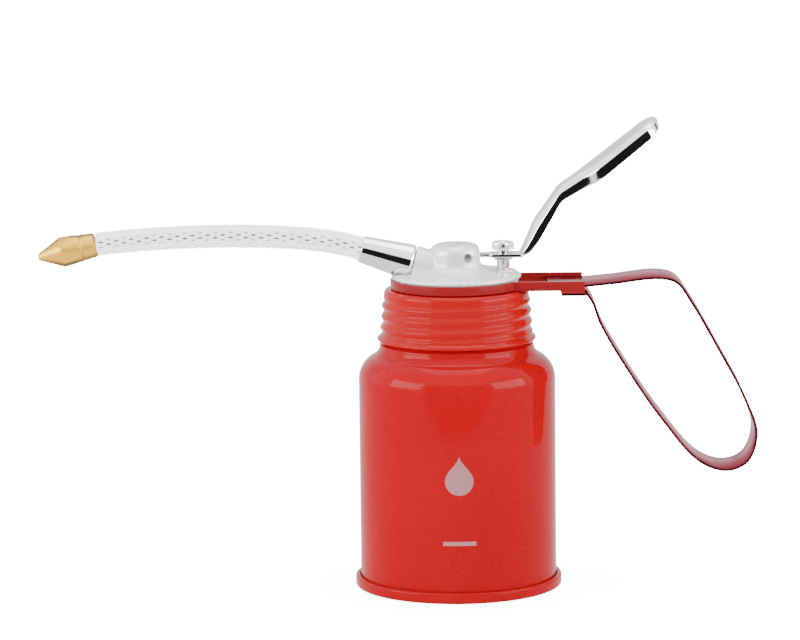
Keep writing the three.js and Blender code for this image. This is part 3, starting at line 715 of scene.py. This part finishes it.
def build_strap():
    line = strap_line()
    centres = [Vector((p.x * MM, 0, DATUM + p.y * MM)) for p in line]
    ups = []
    for i in range(len(line)):
        along = line[min(i + 1, len(line) - 1)] - line[max(i - 1, 0)]
        ups.append(Vector((-along.y, 0, along.x)).normalized())
    half_width, half_sheet, edge = STRAP_WIDTH / 2, STRAP_SHEET / 2, 0.25
    section = fillet([(-half_width, -half_sheet, edge), (half_width, -half_sheet, edge),
                      (half_width, half_sheet, edge), (-half_width, half_sheet, edge)], 3)
    strap = sweep("strap", centres, [CROSSWISE] * len(centres), ups, section, STRAP_RED)
    finish_piece(strap, "head", "red_paint", "handle_strap")


def build_bracket():
    """The round pan on the cap and its channel arm, which is thicker at its end."""
    floor, radius, sheet = ARM_FLOOR, 22.4, ARM_SHEET
    pad_bottom, rim_top = heights("handle_bracket")
    arm_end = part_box("handle_bracket")[1].x / MM
    arm_inner = STRAP_WIDTH / 2 + 0.2
    arm_outer = arm_inner + sheet
    arm_start, clear_top = radius - 4.3, ARM_WALL_TOP + 2
    pan = lathe("bracket", fillet([
        (0, floor, 0), (radius, floor, 0.5), (radius, rim_top, 0.3), (radius - 0.9, rim_top, 0.3),
        (radius - 0.9, floor + sheet, 0.3), (0, floor + sheet, 0)], 4), BRACKET_RED, 192)
    arm = box_cutter((arm_start, -arm_outer, floor), (arm_end, arm_outer, ARM_WALL_TOP))
    join(pan, arm)
    pad = box_cutter((ARM_PAD_START, -arm_outer, pad_bottom), (arm_end, arm_outer, floor + 0.4))
    join(pan, pad)
    channel = box_cutter((0, -arm_inner, floor + sheet), (arm_end + 1, arm_inner, clear_top))
    cut(pan, channel)
    head_space = lathe("cutter", [(0, floor + sheet), (radius - 0.9, floor + sheet),
                                  (radius - 0.9, clear_top), (0, clear_top)], None, 192)
    cut(pan, head_space)
    cut(pan, pump_bar(BARREL_HOLE, 99, 106, 48))
    bevel(pan, 0.25, 2)
    finish_piece(pan, "head", "red_paint", "handle_bracket")


# ---------- the pump head

SPOUT_ANGLE = math.radians(16)
OUTLET = Vector((-14.8 * MM, 0, DATUM + 109.6 * MM))
SPOUT = Vector((-math.cos(SPOUT_ANGLE), 0, math.sin(SPOUT_ANGLE)))


def along_spout(distance):
    return OUTLET + SPOUT * (distance * MM)


def pin_bar(radius, reach):
    """A round bar on the lever's axis that reaches as far to each side."""
    side = CROSSWISE * (reach * MM)
    return solid_bar(radius, PIVOT - side, PIVOT + side)


def build_head():
    """A cast disc with a dome, an outlet for the spout, a slot for the lever and a bore for the rod."""
    base, top = heights("pump_head")
    seat, flange, dome = 21.2, 22.1, 9
    head = lathe("head_casting", [
        (0, base), (seat, base), (seat, 104.5), (flange, 104.7), (flange, 105.3), (flange - 0.4, 105.8),
        (flange - 1.2, 106.1), (15, 106.7), (11.6, 107.0), (dome + 0.6, 108.2), (dome, 109.6),
        (dome, top - 3.2), (dome - 0.4, top - 1.6), (dome - 1.4, top - 0.6), (6, top), (0, top)], CAST, 128)
    join(head, solid_bar(6.1, along_spout(-13), along_spout(-0.3), 64))
    join(head, pump_bar(4.2, base + 1, 107.2))
    cut(head, solid_bar(6.6, along_spout(-0.2), along_spout(30), 64))
    slot_x, slot_half = PIVOT.x / MM, 3.3
    lever_slot = box_cutter((slot_x - 5, -slot_half, 108.7), (slot_x + 7, slot_half, top + 1))
    cut(head, lever_slot)
    cut(head, box_cutter((-40, -40, base - 20), (40, 40, base)))
    remesh(head, 0.3, 3)
    cut(head, pin_bar(1.6, 9.5))
    cut(head, pump_bar(2.3, 104, 109))
    cut(head, pump_bar(5.1, base - 1, 105.1))
    finish_piece(head, "head", "cast_metal", "pump_head")


def build_pin():
    pin = bevel(pin_bar(1.5, 7.6), 0.3, 3)
    pin.name = "pivot_pin"
    pin.data.materials.append(STEEL)
    finish_piece(pin, "head", "steel", "lever_pin")


# ---------- the lever

LEVER_FOOT_HALF = 0.55  # half the thickness of the lever's flat foot


def smoothed(rows, rounds):
    """Evens out every row but the first and last with the rows on each side of it."""
    for _ in range(rounds):
        inner = [[(a + 2 * b + c) / 4 for a, b, c in zip(rows[i - 1], rows[i], rows[i + 1])]
                 for i in range(1, len(rows) - 1)]
        rows = [rows[0], *inner, rows[-1]]
    return rows


def channel_section():
    """Half width and height shares across the channel: upright flange, rounded corner, crowned top."""
    flange_top, corner, turn = 0.48, 0.13, 53
    half = [(1.0, flange_top * k / 4) for k in range(5)]
    half += arc(1 - corner, flange_top, corner, 0, turn, 5)[1:]
    edge_side, edge_rise = half[-1]
    for k in range(1, 11):
        share = 1 - k / 10
        half.append((edge_side * share, edge_rise + (1 - edge_rise) * (1 - share ** 2)))
    return half + [(-side, rise) for side, rise in reversed(half[:-1])]


def blade_rows():
    """Rows of skirt x and z, crown x and z, and half width, from the foot to the start of the tip."""
    stations = [
        (18.4, -0.1, 17.4, 0.9, 4.4),
        (20.9, 0.7, 19.2, 4.6, 4.8),
        (23.9, 4.7, 22.2, 11.8, 5.3),
        (31.8, 18.6, 30.6, 23.7, 5.5),
        (38.3, 22.3, 36.5, 27.7, 5.6),
        (41.0, 23.7, 39.6, 30.1, 6.0),
        (45.0, 25.9, 43.2, 32.8, 7.9),
        (50.0, 30.0, 47.0, 35.7, 8.0),
        (61.2, 39.2, 57.6, 43.9, 8.0),
    ]
    row_spacing = 0.6
    rows = []
    for first, second in zip(stations, stations[1:]):
        length = (Vector(second[:2]) - Vector(first[:2])).length
        pieces = max(3, int(length / row_spacing))
        for k in range(pieces):
            t = k / pieces
            rows.append([a + (b - a) * t for a, b in zip(first, second)])
    rows.append(list(stations[-1]))
    return smoothed(rows, 6)


def tip_rows(rows):
    """Rows that carry on from the last one and draw in to the lever's rounded tip."""
    steps, skirt_reach, crown_reach, skirt_lift, nose_drop, least_width = 16, 5.6, 6.5, 0.9, 2.6, 0.16
    last, earlier = rows[-1], rows[-8]
    run = Vector((last[0] - earlier[0], last[1] - earlier[1])).normalized()
    down = Vector((last[0] - last[2], last[1] - last[3])).normalized()
    tip = []
    for k in range(1, steps + 1):
        t = math.sin(math.pi / 2 * k / steps)
        close = math.sqrt(max(0.0, 1 - t * t))
        skirt = run * (skirt_reach * t) - down * (skirt_lift * (1 - close))
        crown = run * (crown_reach * t) + down * (nose_drop * (1 - close))
        tip.append([last[0] + skirt.x, last[1] + skirt.y, last[2] + crown.x, last[3] + crown.y,
                    last[4] * max(least_width, close)])
    return tip


def build_blade():
    """The pressed channel: each row places the section between its skirt and its crown."""
    rows = blade_rows()
    rows += tip_rows(rows)
    section = channel_section()
    vertices = []
    for skirt_x, skirt_z, crown_x, crown_z, half in rows:
        for side, rise in section:
            x = skirt_x + (crown_x - skirt_x) * rise
            z = skirt_z + (crown_z - skirt_z) * rise
            vertices.append(PIVOT + Vector((x * MM, -side * half * MM, z * MM)))
    faces = strip_faces(len(rows), len(section), closed=False)
    faces.append(end_caps(len(rows), len(section))[1])
    blade = add_object("lever_blade", vertices, faces, CHROME, 60)
    solid = blade.modifiers.new("solid", "SOLIDIFY")
    solid.thickness = 0.9 * MM
    solid.offset = -1
    solid.use_even_offset = True
    apply_modifiers(blade, 60)
    bevel(blade, 0.2, 2, 50)
    finish_piece(blade, "lever", "chrome", "lever")


def build_foot():
    """The lever's foot: a flat plate with a slot for the rod and a knuckle round the pin."""
    neck, end = 3.1, 18.6
    plate = prism("lever_foot", fillet([
        (0, -neck, 0), (7.6, -neck, 0.4), (7.6, -4.8, 0.8), (end, -4.6, 0.8),
        (end, 4.6, 0.8), (7.6, 4.8, 0.8), (7.6, neck, 0.4), (0, neck, 0)], 4),
        -LEVER_FOOT_HALF, LEVER_FOOT_HALF, CHROME)
    knuckle_side, cut_side = CROSSWISE * (neck * MM), CROSSWISE * (5 * MM)
    join(plate, solid_bar(2.4, -knuckle_side, knuckle_side, 64))
    cut(plate, solid_bar(1.6, -cut_side, cut_side, 64))
    near, far, radius = 9.85, 15.9, 2.15
    slot = arc(far - radius, 0, radius, -90, 90, 18) + arc(near + radius, 0, radius, 90, 270, 18)
    cut(plate, prism("cutter", slot, -3, 3, None))
    bevel(plate, 0.18, 2)
    finish_piece(move(plate, PIVOT), "lever", "chrome")


# ---------- rod, nut and spring

def hex_nut(name, across_flats, hole, low, high, turn, material):
    """A nut on the pump's axis with its corners chamfered at both ends."""
    corner, chamfer, past = across_flats / math.sqrt(3), 0.35, 0.01
    nut = prism(name, hexagon(across_flats, turn), low, high, material)
    end_radius, side_radius = corner - chamfer * 2.2, corner + 0.2
    cone = lathe("cutter", [
        (0, low - past), (end_radius, low - past), (side_radius, low + chamfer * 1.4),
        (side_radius, high - chamfer * 1.4), (end_radius, high + past), (0, high + past)], None, 96)
    combine(nut, move(cone, Vector((0, 0, -DATUM))), "INTERSECT")
    bore = solid_bar(hole, Vector((0, 0, (low - 1) * MM)), Vector((0, 0, (high + 1) * MM)))
    cut(nut, bore)
    bevel(nut, 0.12, 2)
    return move(nut, Vector((PUMP_X * MM, 0, DATUM)))


def build_rod():
    bottom, top = heights("plunger_rod")
    shank, collar, play = 1.95, 3.1, 0.1
    collar_top = height_of(PIVOT.z) - LEVER_FOOT_HALF - play
    rod = lathe("rod", fillet([
        (0, bottom, 0), (1.3, bottom, 0.2), (1.3, bottom + 2, 0.1), (2.2, bottom + 2, 0.3),
        (2.2, collar_top - 1.15, 0.1), (collar, collar_top - 1.0, 0.1), (collar, collar_top - 0.65, 0.1),
        (shank, collar_top, 0.1), (shank, top - 0.5, 0.1), (1.5, top, 0.1), (0, top, 0)], 5),
        CHROME, 96, centre_x=PUMP_X)
    finish_piece(rod, "plunger", "chrome", "plunger_rod")


def build_nut():
    """The nut above the lever's foot and the small round washer face under it."""
    bottom, top = heights("lever_nut")
    hole, washer = 2.05, 2.8
    nut = hex_nut("rod_nut", 7.0, hole, bottom + 0.35, top, 8, CHROME)
    finish_piece(nut, "plunger", "chrome", "lever_nut")
    face = lathe("nut_dome", fillet([
        (hole, bottom + 0.02, 0.05), (washer, bottom + 0.36, 0.1),
        (washer, bottom + 0.7, 0.05), (hole, bottom + 0.7, 0.05)], 3), CHROME, 64, centre_x=PUMP_X)
    finish_piece(face, "plunger", "chrome")


def build_spring():
    """The return spring, a coil round the pump's axis that is carried on the plunger body."""
    low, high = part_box("return_spring")
    wire, turns, steps = 0.4, 5, 240
    coil = (high.x - low.x) / 2 - wire * MM
    bottom, rise = low.z + wire * MM, high.z - low.z - 2 * wire * MM
    centres, sides = [], []
    for i in range(steps + 1):
        angle = 2 * math.pi * turns * i / steps
        out = Vector((math.cos(angle), math.sin(angle), 0))
        centres.append(Vector((PUMP_X * MM, 0, bottom + rise * i / steps)) + out * coil)
        sides.append(out)
    ups = [Vector((0, 0, 1))] * len(centres)
    spring = sweep("spring", centres, sides, ups, circle(wire, 12), STEEL)
    finish_piece(spring, "plunger", "steel", "return_spring")
    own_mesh(spring)


# ---------- the spout

HOSE_RADIUS = 4.0
HOSE_START = along_spout(18.6)
HOSE_KNOTS = [HOSE_START, Vector((-49 * MM, 0, DATUM + 121 * MM)), Vector((-97 * MM, 0, DATUM + 120.2 * MM)),
              Vector((-121.65 * MM, 0, DATUM + 117.15 * MM))]


def hose_point(t):
    """A point of the hose's Bezier centreline."""
    a, b, c, d = HOSE_KNOTS
    u = 1 - t
    return a * u ** 3 + b * 3 * u * u * t + c * 3 * u * t * t + d * t ** 3


FINE = [hose_point(i / 600) for i in range(601)]
REACH = [0.0]  # distance along the hose at each point of FINE
for first, second in zip(FINE, FINE[1:]):
    REACH.append(REACH[-1] + (second - first).length)
HOSE_LENGTH = REACH[-1]


def hose_at(distance):
    """The centreline point at a distance in metres, straight on before the start and after the end."""
    if distance <= 0:
        return HOSE_START + SPOUT * distance
    if distance >= HOSE_LENGTH:
        return FINE[-1] + (FINE[-1] - FINE[-2]).normalized() * (distance - HOSE_LENGTH)
    low, high = 0, len(REACH) - 1
    while high - low > 1:
        middle = (low + high) // 2
        low, high = (middle, high) if REACH[middle] <= distance else (low, middle)
    share = (distance - REACH[low]) / (REACH[high] - REACH[low])
    return FINE[low].lerp(FINE[high], share)


def hose_frames(start, end, steps):
    """Centres, sides and ups along a stretch of the hose."""
    nearby = 0.3 * MM
    centres, ups = [], []
    for i in range(steps + 1):
        distance = start + (end - start) * i / steps
        along = (hose_at(distance + nearby) - hose_at(distance - nearby)).normalized()
        centres.append(hose_at(distance))
        ups.append(CROSSWISE.cross(along).normalized())
    return centres, [CROSSWISE] * len(centres), ups


def hose_tube(name, radius, start, end, material):
    return sweep(name, *hose_frames(start, end, 28), circle(radius, 64), material)


def hose_braid(name, start, end):
    """Flat yarns wound both ways, passing over and under each other."""
    yarns, lead, radius = 12, 62.0, 3.5
    half_width, half_height, weave, points = 0.44, 0.15, 0.11, 8
    ring = circle(1, points)
    steps = max(24, int((end - start) / MM * 2.8))
    centres, sides, ups = hose_frames(start, end, steps)
    vertices, faces = [], []
    for hand in (1, -1):
        slope = hand * 2 * math.pi * radius / lead
        for n in range(yarns):
            base = len(vertices)
            for i in range(steps + 1):
                distance = (start + (end - start) * i / steps) / MM
                angle = hand * (2 * math.pi * distance / lead) + 2 * math.pi * n / yarns
                crossing = yarns * distance / lead * 2 * math.pi + math.pi * n
                lift = radius + hand * weave * math.cos(crossing)
                out = sides[i] * math.cos(angle) + ups[i] * math.sin(angle)
                wide = ups[i] * math.cos(angle) - sides[i] * math.sin(angle)
                along = ups[i].cross(sides[i])
                across = (wide - along * slope).normalized()
                for side, rise in ring:
                    vertices.append(centres[i] + out * ((lift + half_height * rise) * MM)
                                    + across * (half_width * side * MM))
            faces += strip_faces(steps + 1, points, base=base) + end_caps(steps + 1, points, base)
    return add_object(name, vertices, faces, YARN, 60)


def build_hose():
    """Four lengths of hose, each laid over one of the spout's joints and reaching halfway to the next."""
    bends = []
    for i in range(1, 5):
        pivot = Vector(JOINTS[f"spout_bend_{i}"]["pos_m"])
        nearest = min(range(len(FINE)), key=lambda k: (FINE[k] - pivot).length)
        bends.append(REACH[nearest])
    middles = [(a + b) / 2 for a, b in zip(bends, bends[1:])]
    edges = [-3 * MM, *middles, HOSE_LENGTH + 0.1 * MM]
    hidden = [["hose_root", "hose_section_1"], ["hose_section_2"], ["hose_section_3"], ["hose_section_4"]]
    for i, bend in enumerate(bends):
        start, end = edges[i], edges[i + 1]
        skin = hose_tube(f"hose_skin_{i + 1}", HOSE_RADIUS, start, end, SKIN)
        core = hose_tube(f"hose_core_{i + 1}", 3.15, start, end, CORE)
        braid = hose_braid(f"hose_braid_{i + 1}", start, end)
        for piece in (skin, core, braid):
            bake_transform(piece)
        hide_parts(*hidden[i])


def lay_along(obj, origin, direction):
    """Turns a piece made upright on height 0 so that it starts at origin and points along direction."""
    turn = Vector((0, 0, 1)).rotation_difference(direction).to_matrix().to_4x4()
    obj.data.transform(Matrix.Translation(origin) @ turn @ Matrix.Translation(Vector((0, 0, -DATUM))))
    return obj


def build_ferrule():
    bore, length = HOSE_RADIUS + 0.05, 18
    profile = fillet([(bore, 0, 0.1), (5.9, 0, 0.5), (6.25, 0.9, 0.5), (6.1, 2.4, 0.6),
                      (4.62, length - 0.6, 0.5), (4.45, length, 0.25), (bore, length, 0.1)], 5)
    ferrule = lathe("ferrule", profile, CHROME, 128)
    finish_piece(lay_along(ferrule, OUTLET, SPOUT), "head", "chrome", "spout_ferrule")


def build_nozzle():
    """A barb inside the hose, a collar, and a cone with hexagon flats that ends in a small outlet."""
    bore, angle = 0.7, math.radians(12)
    direction = Vector((-math.cos(angle), 0, -math.sin(angle)))
    body = lathe("nozzle", fillet([
        (bore, -4.5, 0), (1.3, -4.5, 0.1), (1.8, -2.5, 0.1), (1.5, -2.3, 0.1), (1.8, 0.3, 0.1),
        (3.6, 0.35, 0.1), (4.1, 0.7, 0.15), (4.52, 4.8, 0.15), (4.38, 5.0, 0.05), (4.38, 5.3, 0.05),
        (4.56, 5.5, 0.1), (5.35, 11.8, 0.5), (1.25, 20.0, 0.4), (0.95, 20.4, 0.2), (bore, 20.4, 0.05)], 4),
        BRASS, 128)
    flats = move(prism("cutter", hexagon(9.5, 18), -8, 22, None), Vector((0, 0, DATUM)))
    combine(body, flats, "INTERSECT")
    bevel(body, 0.12, 2)
    finish_piece(lay_along(body, HOSE_KNOTS[-1], direction), "spout_4", "brass", "spout_nozzle")


# ---------- carried-over frame nodes

def dress_frame_nodes():
    looks = {
        "cap_gasket": RUBBER, "gland_seal": RUBBER, "piston_cup": RUBBER,
        "pump_barrel": STEEL, "barrel_nut": STEEL, "inlet_ball": STEEL, "piston_ball": STEEL,
        "valve_cage": BRASS, "valve_seat": BRASS, "spout_nipple": BRASS, "piston": BRASS,
        "dip_tube": TUBE,
    }
    for node, material in looks.items():
        obj = frame["nodes"][node]
        obj.data.materials.clear()
        obj.data.materials.append(material)


# ---------- room, light and camera

WHITE = 18.0  # strength that the camera's picture shows as white
REFLECTED_WHITE = 2.6  # strength of the surroundings in metal and gloss
REFLECTED_FLOOR = 1.5  # strength of the floor there
REFLECTED_DARK = 0.015  # the unlit room behind the camera, in reflections
AMBIENT = 0.8  # strength of the surroundings as a light
FLOOR_FRONT = -0.365  # y of the floor's front edge in metres


def seen_white(look, camera_strength, glossy_strength):
    """A backdrop that looks white, shows pale in reflections and lights the object softly."""
    path = look.node("ShaderNodeLightPath")
    camera = look.node("ShaderNodeEmission")
    look.link(camera_strength, camera.inputs["Strength"])
    glossy = look.node("ShaderNodeEmission", Strength=glossy_strength)
    plain = look.surface.outputs["BSDF"]
    unseen = look.mix_shaders(path.outputs["Is Glossy Ray"], plain, glossy.outputs["Emission"])
    seen = look.mix_shaders(path.outputs["Is Camera Ray"], unseen, camera.outputs["Emission"])
    look.link(seen, look.output.inputs["Surface"])


def floor_sheet():
    """Vertices and faces of a floor that curves up into a backdrop."""
    half, back, bend, height = 6.5, 2.7, 1.7, 6.5
    line = [(FLOOR_FRONT, 0.0), (back, 0.0)]
    line += arc(back, bend, bend, -85, 0, 17)
    line.append((back + bend, height))
    vertices = [(x, y, FLOOR + z) for x in (-half, half) for y, z in line]
    return vertices, strip_faces(2, len(line), closed=False)


def build_room():
    """A pale floor and backdrop with a painted contact shadow: the white they show the camera dims with
    ambient occlusion where the can stands.
    """
    floor = add_object("floor", *floor_sheet(), None, 180)
    look = Shader("floor_paint")
    look.set(Roughness=0.9)
    look.colour(look.noise(3, 3), (0.93, 0.93, 0.93), (0.90, 0.90, 0.905))
    # painted contact shadow: ambient occlusion lowers the white that the camera sees near the can
    contact_shadow = look.node("ShaderNodeAmbientOcclusion", samples=8, Distance=0.06)
    strength = look.ramp(contact_shadow.outputs["AO"], WHITE * 0.45, WHITE, 0.2, 0.95)
    seen_white(look, strength, REFLECTED_FLOOR)
    floor.data.materials.append(look.material)


def black_card():
    """A dark board beside the can that its right side and the chrome reflect, hidden from the camera."""
    azimuth, distance, half, height = math.radians(120), 0.8, 0.11, 0.7
    across = Vector((math.cos(azimuth), math.sin(azimuth), 0))
    foot = Vector((math.sin(azimuth), -math.cos(azimuth), 0)) * distance
    corners = [foot - across * half, foot + across * half]
    corners += [corner + Vector((0, 0, height)) for corner in reversed(corners)]
    above_floor = Vector((0, 0, FLOOR + MM))
    card = add_object("black_card", [corner + above_floor for corner in corners], [(0, 1, 2, 3)], RUBBER)
    card.visible_camera = False


def area_light(name, spot, target, width, height, power):
    light = bpy.data.lights.new(name, "AREA")
    light.shape = "RECTANGLE"
    light.size = width
    light.size_y = height
    light.energy = power
    obj = bpy.data.objects.new(name, light)
    obj.location = spot
    obj.rotation_mode = "QUATERNION"
    obj.rotation_quaternion = (Vector(target) - Vector(spot)).to_track_quat("-Z", "Y")
    bpy.context.scene.collection.objects.link(obj)


def build_lights():
    """A softbox on each side of the camera and a broad light overhead, all aimed at the can."""
    target = (0, 0, 0.07)
    azimuth, distance, height = math.radians(64), 1.2, 0.42
    for name, side, power in (("softbox_left", -1, 17), ("softbox_right", 1, 16)):
        spot = (side * distance * math.sin(azimuth), -distance * math.cos(azimuth), height)
        area_light(name, spot, target, 0.95, 0.55, power)
    area_light("top_light", (0, 0.1, 1.5), target, 1.0, 1.0, 12)


def dark_side(sky):
    """1 for directions that look out over the floor's front edge into the dark room, else 0."""
    direction = sky.node("ShaderNodeTexCoord").outputs["Generated"]
    level = sky.node("ShaderNodeVectorMath", operation="MULTIPLY")
    sky.link(direction, level.inputs[0])
    level.inputs[1].default_value = (1, 1, 0)
    flat = sky.node("ShaderNodeVectorMath", operation="NORMALIZE")
    sky.link(level.outputs["Vector"], flat.inputs[0])
    across = sky.node("ShaderNodeSeparateXYZ")
    sky.link(flat.outputs["Vector"], across.inputs[0])
    up = sky.node("ShaderNodeSeparateXYZ")
    sky.link(direction, up.inputs[0])
    both = sky.node("ShaderNodeMath", operation="MULTIPLY")
    sky.link(sky.ramp(across.outputs["Y"], 0.0, 1.0, -0.70, -0.82, "SMOOTHSTEP"), both.inputs[0])
    sky.link(sky.ramp(up.outputs["Z"], 0.0, 1.0, 0.48, 0.38, "SMOOTHSTEP"), both.inputs[1])
    return both.outputs["Value"]


def build_world():
    """Surroundings that are white to the camera, pale and partly dark in reflections, and a soft light."""
    world = bpy.data.worlds.new("studio")
    world.use_nodes = True
    bpy.context.scene.world = world
    sky = Wiring(world.node_tree)
    background = sky.tree.nodes["Background"]
    background.inputs["Color"].default_value = (1, 1, 1, 1)
    path = sky.node("ShaderNodeLightPath")
    reflected = sky.ramp(dark_side(sky), REFLECTED_WHITE, REFLECTED_DARK, 0.0, 1.0)
    unseen = sky.ramp(path.outputs["Is Glossy Ray"], AMBIENT, reflected, 0.0, 1.0)
    seen = sky.ramp(path.outputs["Is Camera Ray"], unseen, WHITE, 0.0, 1.0)
    sky.link(seen, background.inputs["Strength"])


def build_camera():
    """A long lens that looks down a little from the front, with a slight roll."""
    aim = Vector((-19.2 * MM, 0, DATUM + 90 * MM))
    distance, elevation, roll = 1.5, math.radians(9), math.radians(0.65)
    camera = bpy.data.cameras.new("camera")
    camera.lens = 198.5
    camera.sensor_width = 36
    obj = bpy.data.objects.new("camera", camera)
    back = Vector((0, -math.cos(elevation), math.sin(elevation)))
    obj.location = aim + back * distance
    obj.rotation_mode = "QUATERNION"
    straight = (-back).to_track_quat("-Z", "Y")
    obj.rotation_quaternion = straight @ Matrix.Rotation(-roll, 4, "Z").to_quaternion()
    bpy.context.scene.collection.objects.link(obj)
    bpy.context.scene.camera = obj


build_can()
build_bottom()
build_cap()
build_mark()
build_bracket()
build_strap()
build_head()
build_pin()
build_blade()
build_foot()
build_rod()
build_nut()
build_spring()
build_ferrule()
build_hose()
build_nozzle()
dress_frame_nodes()
build_room()
build_world()
build_lights()
black_card()
build_camera()
